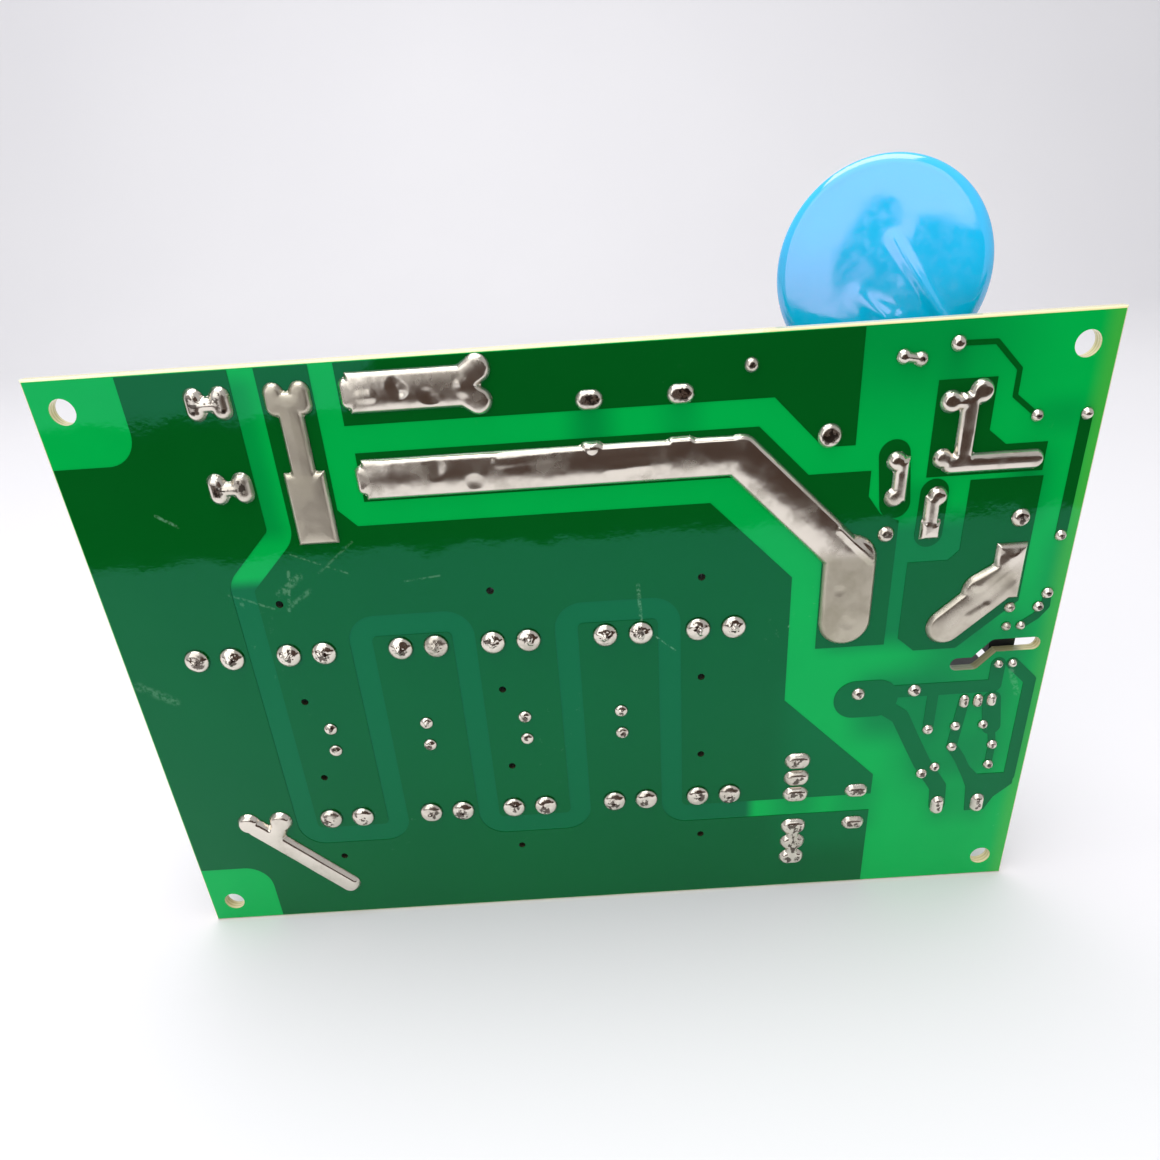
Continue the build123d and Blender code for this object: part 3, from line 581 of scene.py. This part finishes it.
BROWN, BLACK, RED, ORANGE, GOLD = "#5a3216", "#141414", "#a81f1a", "#cf5a14", "#b08a3c"
BLUE_LACQUER, GREY_LACQUER, DIODE_LACQUER = "#5fa7bd", "#8fa6a8", "#141518"
AXIAL_PARTS = {              # part: its body's length in mm, lacquer, and rings in order
    "top_resistor": (11.0, BLUE_LACQUER, ORANGE, BLACK, BLACK, GOLD),
    "series_resistor": (8.0, BLUE_LACQUER, RED, RED, BROWN, GOLD),
    "trim_resistor": (5.4, BLUE_LACQUER, BROWN, BLACK, RED, BROWN),
    "edge_resistor": (5.8, BLUE_LACQUER, BROWN, BLACK, RED, BROWN),
    "bias_resistor_1": (5.8, BLUE_LACQUER, RED, ORANGE, BROWN, BROWN),
    "bias_resistor_2": (4.6, BLUE_LACQUER, BROWN, BLACK, ORANGE, BROWN),
    "bias_resistor_3": (5.8, BLUE_LACQUER, BLACK, BROWN, RED, BROWN),
    **{f"bleeder_resistor_{n}": (11.0, GREY_LACQUER, BROWN, BLACK, ORANGE, GOLD) for n in range(1, 5)},
    "clamp_diode": (4.8, DIODE_LACQUER, "#c9cbcd"),
    "flyback_diode": (5.2, DIODE_LACQUER, "#c9cbcd"),
}


def banded_body(node, body_length, base, *bands):
    """Lacquered axial part with colour rings across its own length, and bare tinned wires."""
    low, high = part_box(node)
    along = 0 if high.x - low.x > high.z - low.z else 2
    middle = (low + high) / 2
    half = body_length * MM / 2
    material, shader, place, add = start_material(f"{node}_lacquer")
    along_body = add("SUBTRACT", add("axes", place)[along], middle[along])
    tone = linear(base)
    for index, code in enumerate(bands):
        centre = (-0.62 + 0.33 * index + (0.22 if index == len(bands) - 1 else 0)) * half
        distance = add("ABSOLUTE", add("SUBTRACT", along_body, centre))
        ring = add("step", distance, 0.078 * 2 * half, 0.068 * 2 * half)
        tone = add("mix", ring, tone, linear(code))
    ends = add("step", add("ABSOLUTE", along_body), half, half + 0.03 * MM)
    leads = add("MAXIMUM", ends, add("SUBTRACT", 1.0, off_board(add, place)))
    raise_surface(add, shader, add("noise", place, 1 / (1.2 * MM), 2.0), 0.03 * MM, 0.6)
    set_shader(shader, Base_Color=add("mix", leads, tone, linear("#c9c5bb")), Metallic=leads,
               Roughness=add("step", leads, 0.0, 1.0, 0.22, 0.30), IOR=1.5)
    return material


def shrink_sleeve(node):
    """Capacitor: black shrunk vinyl with a pale polarity stripe, bare aluminium top, tinned pins."""
    low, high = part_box(node)
    centre = (low + high) / 2
    radius = (high.x - low.x) / 2
    lip = radius - 2.4 * MM
    material, shader, place, add = start_material(f"{node}_sleeve")
    x, y, z = add("axes", place)
    dx, dz = add("SUBTRACT", x, centre.x), add("SUBTRACT", z, centre.z)
    r = add("SQRT", add("ADD", add("MULTIPLY", dx, dx), add("MULTIPLY", dz, dz)))
    top = add("MULTIPLY", add("step", y, high.y - 0.62 * MM, high.y - 0.58 * MM),
              add("step", r, lip + 0.02 * MM, lip - 0.02 * MM))
    pins = add("MULTIPLY", add("step", y, board_high.y + 0.3 * MM, board_high.y + 0.25 * MM),
               add("step", r, radius - 0.9 * MM, radius - 1.1 * MM))
    metal = add("MAXIMUM", top, pins)
    stripe = add("MULTIPLY", add("step", dz, 0.93 * radius, 0.94 * radius),
                 add("step", r, lip, lip + 1.8 * MM))
    wrinkle = add("noise", place, 1 / (5 * MM), 3.0)
    sleeve = add("mix", wrinkle, linear("#0d0e12"), linear("#1a1c22"))
    sleeve = add("mix", stripe, sleeve, linear("#b9bcc0"))
    dapple = add("noise", place, 1 / (1.5 * MM), 2.0)
    turned = add("mix", dapple, linear("#c8cacc"), linear("#dddedf"))
    raise_surface(add, shader, wrinkle, 0.06 * MM, 0.7)
    rings = add("SINE", add("MULTIPLY", r, 2 * math.pi / (0.5 * MM)))
    raise_surface(add, shader, add("MULTIPLY", rings, top), 0.008 * MM, 0.4)
    set_shader(shader, Base_Color=add("mix", metal, sleeve, turned), Metallic=metal,
               Roughness=add("step", wrinkle, 0.2, 0.8, 0.16, 0.30), IOR=1.5)
    return material


# ---------------------------------------------------------------- varistor
APEX = ((4.0, -7.0), (0.0, 0.0))     # thickest place of the front and the back face, in mm
RIDGES = (                   # front face, back face: each ridge's line, width and height, in mm
    ((1.5, 4.6, 10.5, -8.5, 0.85, 0.50), (-3.2, -3.2, 1.2, -6.8, 1.3, 0.38),
     (4.2, -9.5, 3.2, -6.6, 0.7, 0.25)),
    ((-3.0, 4.0, -10.5, -9.5, 1.2, 0.7),),
)


def ridge_height(x, y, x0, y0, x1, y1, wide):
    """Height of a soft ridge along a line, as a share of its crest."""
    dx, dy = x1 - x0, y1 - y0
    t = min(1.0, max(0.0, ((x - x0) * dx + (y - y0) * dy) / (dx * dx + dy * dy)))
    away = math.hypot(x - x0 - t * dx, y - y0 - t * dy) / wide
    return math.exp(-away * away) * (0.35 + 0.65 * t)


def dipped_disc(settings):
    """Varistor disc as dipped: domed faces, a rolled rim, the leads' ridges under the skin."""
    points = np.array([v.co for v in nodes["varistor_disc"].data.vertices], float)
    centre = (points.max(0) + points.min(0)) / 2
    _, _, axes = np.linalg.svd(points - points.mean(0), full_matrices=False)
    normal = Vector(axes[2])
    if normal.y > 0:
        normal = -normal
    across = Vector((1, 0, 0))
    across = (across - normal * across.dot(normal)).normalized()
    upward = across.cross(normal)
    if upward.z < 0:
        upward = -upward
    flat = points - centre
    radius = float(np.abs(flat @ np.array(across)).max())
    half = float(np.abs(flat @ np.array(normal)).max())
    rim = half - settings.coat_crown
    rings, sides = 60, 160
    vertices, faces = [], []

    def surface(r, angle, side):
        """Point of one face at a share of the radius."""
        turn = r * math.pi / 2
        reach = radius * math.sin(turn) ** 0.85 if r < 1 else radius
        if reach > radius - rim:
            over = (reach - (radius - rim)) / rim
            lift = rim * math.sqrt(max(0.0, 1 - over * over))
        else:
            lift = rim
        u, v = reach * math.cos(angle), reach * math.sin(angle)
        aside = math.hypot(u - APEX[side][0] * MM, v - APEX[side][1] * MM)
        dome = settings.coat_crown * (1 - (aside / (radius + 0.75 * math.hypot(*APEX[side]) * MM)) ** 2)
        ridge = 0.0
        for x0, y0, x1, y1, wide, high in RIDGES[side]:
            ridge = max(ridge, ridge_height(u / MM, v / MM, x0, y0, x1, y1, wide) * high * MM)
        spot = Vector((u, v, side)) / (9 * MM)
        sag = noise.noise(spot) * settings.coat_wave
        fade = max(0.0, 1 - (reach / radius) ** 8)
        out = lift + (dome + ridge + sag) * fade
        return Vector(centre) + across * u + upward * v + normal * out * (1 if side == 0 else -1)

    for side in (0, 1):
        start = len(vertices)
        vertices.append(surface(0, 0, side))
        for ring in range(1, rings + 1 - side):
            for step in range(sides):
                vertices.append(surface(ring / rings, 2 * math.pi * step / sides, side))
        faces += disc_faces(start, rings - side, sides)
    # the back face's last ring joins the front face's rim
    a, b = start + 1 + (rings - 2) * sides, 1 + (rings - 1) * sides
    for step in range(sides):
        after = (step + 1) % sides
        faces.append((a + step, b + step, b + after, a + after))
    mesh = bpy.data.meshes.new("varistor_coat")
    mesh.from_pydata(vertices, [], faces)
    face_outwards(mesh)
    return mesh


# ---------------------------------------------------------------- settings
class BoardFinish(bpy.types.PropertyGroup):
    """Colours, as sRGB hex, and surface depths of the board, its solder and its parts."""
    mask_on_copper: StringProperty(
        name="Mask on copper", description="Green over copper", default="#015818")
    mask_on_copper_dark: StringProperty(
        name="Mask on copper, thick", description="Where the mask lies thicker",
        default="#014e14")
    mask_on_laminate: StringProperty(
        name="Mask on laminate", description="Green on bare glass-epoxy", default="#00ad46")
    mask_on_laminate_dark: StringProperty(
        name="Mask on laminate, thick", description="Where the mask lies thicker",
        default="#009f40")
    mask_over_plane: StringProperty(
        name="Mask over the rear plane", description="Bare gap with copper behind it",
        default="#02552a")
    mask_in_shade: StringProperty(
        name="Mask in shade", description="Bare laminate with a large part behind it",
        default="#006b30")
    mask_sheen: StringProperty(
        name="Mask sheen", description="Tint of what the mask reflects", default="#7afff2")
    laminate_cut: StringProperty(
        name="Cut laminate", description="Edge of the glass-epoxy", default="#d8cb94")
    solder_bright: StringProperty(
        name="Bright solder", description="Smooth tin", default="#e4dcd0")
    solder_dull: StringProperty(name="Dull solder", description="Frosted tin", default="#cbc3b6")
    varistor_coat: StringProperty(
        name="Varistor coat", description="Dipped epoxy", default="#0ccdff")
    varistor_deep: StringProperty(
        name="Varistor coat, thick", description="Where the dip pooled", default="#02bcf6")
    coat_crown: FloatProperty(
        name="Coat crown", description="How far the disc's faces bulge", default=1.9 * MM, unit="LENGTH",
        precision=6)
    coat_wave: FloatProperty(
        name="Coat wave", description="Sag of the dipped coat", default=0.20 * MM, unit="LENGTH",
        precision=6)
    orange_peel: FloatProperty(
        name="Orange peel", description="Depth of the mask's slow waves", default=0.045 * MM, unit="LENGTH",
        precision=6)
    mask_gloss: FloatProperty(
        name="Mask roughness", description="Roughness of the clean mask", default=0.05, min=0.0, max=1.0)


class SolderForm(bpy.types.PropertyGroup):
    """Sizes of the drawn solder."""
    cell: FloatProperty(
        name="Cell", description="Spacing of the solder meshes", default=0.17 * MM, unit="LENGTH",
        precision=6)
    wave_length: FloatProperty(
        name="Wave length", description="Length of the slow waves", default=6.0 * MM, unit="LENGTH",
        precision=6)
    wave_depth: FloatProperty(
        name="Wave depth", description="Depth of the slow waves", default=0.06 * MM, unit="LENGTH",
        precision=6)
    dome_rise: FloatProperty(
        name="Dome rise", description="Height of a round joint as a share of its radius", default=0.55)


class StageSettings(bpy.types.PropertyGroup):
    """Floor, light and camera."""
    floor_front: FloatProperty(
        name="Floor in front", description="Pale floor in front of the board", default=2.2, unit="LENGTH")
    card_front: FloatProperty(
        name="Dark card", description="Distance of the dark card that the board mirrors", default=0.214,
        unit="LENGTH")
    floor_behind: FloatProperty(
        name="Floor behind", description="Pale floor behind the board", default=0.75, unit="LENGTH")
    floor_half_width: FloatProperty(
        name="Floor half width", description="Half of the floor's width", default=2.2, unit="LENGTH")
    camera_back: FloatProperty(
        name="Camera back", description="Camera in front of the solder face", default=0.1363, unit="LENGTH")
    camera_up: FloatProperty(
        name="Camera up", description="Camera above the board's centre", default=0.0753, unit="LENGTH")
    camera_aside: FloatProperty(
        name="Camera aside", description="Camera right of the board's centre", default=0.0007,
        unit="LENGTH")
    pitch: FloatProperty(
        name="Pitch", description="Camera looking down", default=math.radians(29.63), subtype="ANGLE")
    yaw: FloatProperty(
        name="Yaw", description="Camera turned left", default=math.radians(0.66), subtype="ANGLE")
    roll: FloatProperty(
        name="Roll", description="Camera rolled clockwise", default=math.radians(3.98), subtype="ANGLE")
    lens: FloatProperty(name="Lens", description="Focal length on a 36 mm sensor, in mm", default=26.97)
    shift_up: FloatProperty(name="Shift up", description="Upward shift of the frame", default=0.0853)
    shift_aside: FloatProperty(
        name="Shift aside", description="Sideways shift of the frame", default=-0.0066)
    key_power: FloatProperty(
        name="Key light", description="Power of the large soft light above", default=11.5, unit="POWER")
    fill_power: FloatProperty(
        name="Fill light", description="Power of the soft light from the front left", default=8.0,
        unit="POWER")
    sky: FloatProperty(name="Sky", description="Brightness of the pale surroundings", default=0.60)


# ---------------------------------------------------------------- operators
class BOARD_OT_laminate(bpy.types.Operator):
    """Finish of the board's laminate and its masked copper"""
    bl_idname = "board.laminate"
    bl_label = "Laminate and copper"

    def execute(self, context):
        dress("circuit_board", masked_laminate())
        copper = masked_copper()
        dress("solder_side_copper", copper)
        dress("component_side_copper", copper)
        return {"FINISHED"}


RUNS = {                     # node: width of the flank, height, reach of the crown, its rise, in mm
    "main_bus_solder": (0.75, 0.80, 3.3, 0.32), "upper_bar_solder": (0.75, 0.85, 2.6, 0.32),
    "link_bar_solder": (0.7, 0.85, 2.6, 0.20), "bank_link_solder": (0.8, 0.85, 1.8, 0.40),
    "tee_bar_solder": (0.7, 0.80, 1.5, 0.34), "strip_solder": (0.8, 0.80, 1.6, 0.40),
    "output_bar_solder": (0.7, 0.90, 3.0, 0.34), "tab_joints": (0.9, 0.80, 1.8, 0.45),
    "header_joints": (0.9, 0.70, 1.6, 0.40), "control_joints": (0.7, 0.55, 1.1, 0.30),
}
PITTED = ("control_joints", "header_joints", "tab_joints")      # joints round a lead's tip
FEATURES = {                 # node: stretches with their radius and rise, in mm
    "main_bus_solder": ((124.9, 31.6, 130.5, 37.2, 1.0, 0.32), (125.5, 42.5, 125.5, 42.5, 1.3, -0.08),
                        (127.0, 48.5, 127.6, 48.9, 1.5, -0.08), (60.0, 17.0, 60.0, 17.0, 2.2, -0.14),
                        (66.0, 19.5, 66.0, 19.5, 1.7, -0.14), (84.8, 14.6, 84.8, 15.4, 1.3, 0.30),
                        (88.0, 19.0, 96.0, 18.4, 1.6, 0.10), (70.0, 16.6, 78.0, 16.2, 1.4, 0.10)),
    "upper_bar_solder": ((56.0, 4.2, 56.4, 4.8, 1.6, -0.18), (60.5, 5.8, 60.9, 6.2, 1.6, -0.14),
                         (66.0, 5.0, 69.0, 4.8, 1.8, 0.16), (50.5, 5.4, 52.0, 5.4, 1.2, 0.14)),
    "output_bar_solder": ((149.4, 43.0, 154.2, 38.2, 1.6, 0.22), (151.5, 45.6, 154.6, 42.4, 1.5, -0.14),
                          (148.6, 49.0, 151.0, 47.4, 1.3, 0.14)),
}
DULL_ENDS = (                # flat ends painted darker and made rougher: left, top, right, bottom in mm, share
    (120.0, 36.0, 134.0, 54.0, 0.62), (140.0, 40.0, 157.0, 56.0, 0.38), (34.0, 1.0, 46.5, 32.0, 0.55),
)


class BOARD_OT_solder_runs(bpy.types.Operator):
    """Solder bars and long joints, drawn as set metal"""
    bl_idname = "board.solder_runs"
    bl_label = "Solder runs"

    def execute(self, context):
        material = bright_solder("tin_solder_bar", 0.15, 0.16, DULL_ENDS)
        for node, form in RUNS.items():
            spots = [(at(x0, y0), at(x1, y1), radius * MM, rise * MM)
                     for x0, y0, x1, y1, radius, rise in FEATURES.get(node, ())]
            mesh = set_bead(node, *(size * MM for size in form), spots)
            finish_piece(node.replace("_solder", "") + "_bead", mesh, "solder", material, node)
        return {"FINISHED"}


class BOARD_OT_solder_domes(bpy.types.Operator):
    """Round solder joints of the capacitors and their bleeders"""
    bl_idname = "board.solder_domes"
    bl_label = "Round joints"

    def execute(self, context):
        form = context.scene.solder_form
        material = bright_solder("tin_solder_joint", 0.11, 0.18)
        domes = []
        for seed in range(6):
            mesh = dome_mesh(seed, form.dome_rise, 0.16 if seed % 2 else 0.05)
            mesh.polygons.foreach_set("use_smooth", [True] * len(mesh.polygons))
            domes.append(bpy.data.objects.new(f"dome_{seed}", mesh))
        group = scatter_tree(domes, material)
        for seed, node in enumerate(("capacitor_joints", "bleeder_joints")):
            mesh = baked(joint_places(node), group, seed + 3)
            finish_piece(node + "_domes", mesh, "solder", material, node)
        for dome in domes:
            bpy.data.objects.remove(dome)
        return {"FINISHED"}


class BOARD_OT_varistor(bpy.types.Operator):
    """Disc varistor with its dipped coat and leads"""
    bl_idname = "board.varistor"
    bl_label = "Varistor"

    def execute(self, context):
        settings = context.scene.board_finish
        coat = glossy_dip("blue_dipped_epoxy", settings.varistor_coat, settings.varistor_deep, 0.07,
                          0.012 * MM, 2.15, 0.2, "#ffc0ff")
        finish_piece("varistor_coat", dipped_disc(settings), "varistor_coating", coat, "varistor_disc")
        dress("varistor_leads", tin_plate("tinned_copper_wire"))
        return {"FINISHED"}


class BOARD_OT_capacitors(bpy.types.Operator):
    """Sleeves, tops and pins of the electrolytic capacitors"""
    bl_idname = "board.capacitors"
    bl_label = "Electrolytic capacitors"

    def execute(self, context):
        for node in starting("capacitor_"):
            if node != "capacitor_joints":
                dress(node, shrink_sleeve(node))
        return {"FINISHED"}


class BOARD_OT_axial_parts(bpy.types.Operator):
    """Resistors with colour rings and diodes with a cathode band"""
    bl_idname = "board.axial_parts"
    bl_label = "Resistors and diodes"

    def execute(self, context):
        for node, look in AXIAL_PARTS.items():
            dress(node, banded_body(node, *look))
        return {"FINISHED"}


class BOARD_OT_boxed_parts(bpy.types.Operator):
    """Film and ceramic capacitors, relay, optocoupler and transistor"""
    bl_idname = "board.boxed_parts"
    bl_label = "Boxed parts"

    def execute(self, context):
        for node in ("film_capacitor_1", "film_capacitor_2", "spark_capacitor", "snubber_capacitor"):
            case = moulded(f"{node}_case", "#b98512", "#c79a2e", 0.28)
            dress(node, with_leads(case))
        for node in ("filter_capacitor", "bypass_capacitor"):
            dip = glossy_dip(f"{node}_dip", "#c56a1c", "#a8540f", 0.18, 0.03 * MM)
            dress(node, with_leads(dip))
        dress("relay_case", moulded("black_relay_case", "#15161a", "#202227", 0.36))
        dress("relay_pins", tin_plate("tinned_relay_pin"))
        dress("optocoupler", with_leads(moulded("black_glass_filled_epoxy", "#131315", "#1d1d20", 0.45)))
        dress("transistor_case", moulded("black_moulding_compound", "#17181a", "#222325", 0.42))
        dress("transistor_frame", tin_plate("tinned_copper_frame"))
        return {"FINISHED"}


class BOARD_OT_terminals(bpy.types.Operator):
    """Headers, their posts and the push-on tabs"""
    bl_idname = "board.terminals"
    bl_label = "Headers and tabs"

    def execute(self, context):
        nylon = moulded("natural_nylon", "#e3dfd0", "#d5d0bd", 0.42, 0.5)
        posts = tin_plate("tinned_brass_post", "#d9d3bf")
        for header in ("output", "auxiliary", "sense"):
            dress(f"{header}_header_wafer", nylon)
            dress(f"{header}_header_posts", posts)
        blade = tin_plate("tinned_brass_blade", "#d7d2c4")
        for node in starting("tab_terminal"):
            dress(node, blade)
        return {"FINISHED"}


class BOARD_OT_stage(bpy.types.Operator):
    """Pale floor and backdrop, soft lights and the camera"""
    bl_idname = "board.stage"
    bl_label = "Stage"

    def execute(self, context):
        settings = context.scene.board_stage
        build_floor(settings)
        build_sky(settings)
        dark_card(settings)
        soft_light("key", (-0.15, 0.10, 1.10), (0, 0.02, 0), 1.0, settings.key_power)
        soft_light("fill", (-0.42, -1.00, 0.70), (0, 0, 0), 1.5, settings.fill_power)
        place_camera(settings)
        context.scene.view_settings.view_transform = "Standard"
        return {"FINISHED"}


# ---------------------------------------------------------------- stage
def plain_sheet(name, size, dark, light, **values):
    """Finish of a backdrop or card: one tone that drifts a little between two."""
    material, shader, place, add = start_material(name)
    tone = add("mix", add("noise", place, 1 / size, 2.0), linear(dark), linear(light))
    set_shader(shader, Base_Color=tone, **values)
    return material


def build_floor(settings):
    """One sheet: flat floor, a wide bend, and an upright backdrop."""
    level = cad_low.z
    bend, steps = 0.35, 24
    profile = [(-settings.floor_front, level), (settings.floor_behind, level)]
    for step in range(1, steps + 1):
        angle = math.pi / 2 * step / steps
        profile.append((settings.floor_behind + bend * math.sin(angle), level + bend * (1 - math.cos(angle))))
    profile.append((settings.floor_behind + bend, level + 1.6))
    half = settings.floor_half_width
    vertices = [(side * half, y, z) for y, z in profile for side in (-1, 1)]
    faces = [(2 * i, 2 * i + 1, 2 * i + 3, 2 * i + 2) for i in range(len(profile) - 1)]
    mesh = bpy.data.meshes.new("floor")
    mesh.from_pydata(vertices, [], faces)
    mesh.polygons.foreach_set("use_smooth", [True] * len(faces))
    mesh.materials.append(plain_sheet("white_paper_sweep", 0.25, "#dfdee1", "#e5e4e6", Roughness=0.6))
    link_new("floor", mesh)


def build_sky(settings):
    """Even pale surroundings."""
    world = bpy.data.worlds.new("studio")
    bpy.context.scene.world = world
    world.use_nodes = True
    world.node_tree.nodes.clear()
    pale = tuple(c * settings.sky for c in linear("#f1f1f4")[:3]) + (1,)
    add = partial(add_node, world.node_tree)
    add("world", add("background", pale))


CARD_TOP = (                 # upper outline of the dark card from right to left, in metres: x, z
    (0.700, 0.052), (0.170, 0.052), (0.170, 0.140), (-0.012, 0.146), (-0.022, 0.080), (-0.040, 0.078),
    (-0.046, 0.160), (-0.062, 0.166), (-0.076, 0.120), (-0.078, 0.020), (-0.092, 0.004), (-0.700, 0.004),
)


def dark_card(settings):
    """Dark brown card in front of the board, which only reflections show: it gives solder its dark side."""
    mesh = bpy.data.meshes.new("dark_card")
    outline = ((-0.700, cad_low.z - 0.001), (0.700, cad_low.z - 0.001), *CARD_TOP)
    mesh.from_pydata([(x, solder_face - settings.card_front, z) for x, z in outline], [],
                     [tuple(reversed(range(len(outline))))])
    mesh.materials.append(plain_sheet("brown_felt", 0.06, "#42312a", "#56453d", Roughness=1.0,
                                      Specular_IOR_Level=0.0))
    card = link_new("dark_card", mesh)
    for rays in ("camera", "diffuse", "shadow", "transmission"):
        setattr(card, f"visible_{rays}", False)


def soft_light(name, place, aim, size, power):
    """Square soft box aimed at a point."""
    data = bpy.data.lights.new(name, "AREA")
    data.size = size
    data.energy = power
    lamp = bpy.data.objects.new(name, data)
    lamp.location = place
    lamp.rotation_euler = (Vector(aim) - Vector(place)).to_track_quat("-Z", "Y").to_euler()
    bpy.context.scene.collection.objects.link(lamp)


def place_camera(settings):
    """Camera close in front of the board, above it and looking down at it."""
    centre = (board_low + board_high) / 2
    data = bpy.data.cameras.new("camera")
    data.sensor_width = 36
    data.lens = settings.lens
    data.shift_x = settings.shift_aside
    data.shift_y = settings.shift_up
    data.clip_start = 0.005
    camera = bpy.data.objects.new("camera", data)
    camera.location = (centre.x + settings.camera_aside, solder_face - settings.camera_back,
                       centre.z + settings.camera_up)
    turn = Euler((math.pi / 2 - settings.pitch, 0, settings.yaw)).to_quaternion()
    roll = Euler((0, 0, -settings.roll)).to_quaternion()
    camera.rotation_euler = (turn @ roll).to_euler()
    bpy.context.scene.collection.objects.link(camera)
    bpy.context.scene.camera = camera


# ---------------------------------------------------------------- add-on
class BOARD_PT_panel(bpy.types.Panel):
    """Lists what the script makes and its settings"""
    bl_idname = "BOARD_PT_panel"
    bl_label = "Power supply board"
    bl_space_type = "VIEW_3D"
    bl_region_type = "UI"
    bl_category = "Board"

    def draw(self, context):
        for operator in OPERATORS:
            self.layout.operator(operator.bl_idname)
        for group in (context.scene.board_finish, context.scene.solder_form, context.scene.board_stage):
            for name in group.__annotations__:
                self.layout.prop(group, name)


OPERATORS = (BOARD_OT_laminate, BOARD_OT_solder_runs, BOARD_OT_solder_domes, BOARD_OT_varistor,
             BOARD_OT_capacitors, BOARD_OT_axial_parts, BOARD_OT_boxed_parts, BOARD_OT_terminals,
             BOARD_OT_stage)
GROUPS = {"board_finish": BoardFinish, "solder_form": SolderForm, "board_stage": StageSettings}


def register():
    """Register the classes and attach the settings to the scene."""
    for item in (*GROUPS.values(), *OPERATORS, BOARD_PT_panel):
        bpy.utils.register_class(item)
    for name, group in GROUPS.items():
        setattr(bpy.types.Scene, name, PointerProperty(type=group))


def unregister():
    """Undo register."""
    for name in GROUPS:
        delattr(bpy.types.Scene, name)
    for item in reversed((*GROUPS.values(), *OPERATORS, BOARD_PT_panel)):
        bpy.utils.unregister_class(item)


def main():
    """Make every piece in order."""
    register()
    for operator in OPERATORS:
        group, name = operator.bl_idname.split(".")
        getattr(getattr(bpy.ops, group), name)()


if __name__ == "__main__":
    main()
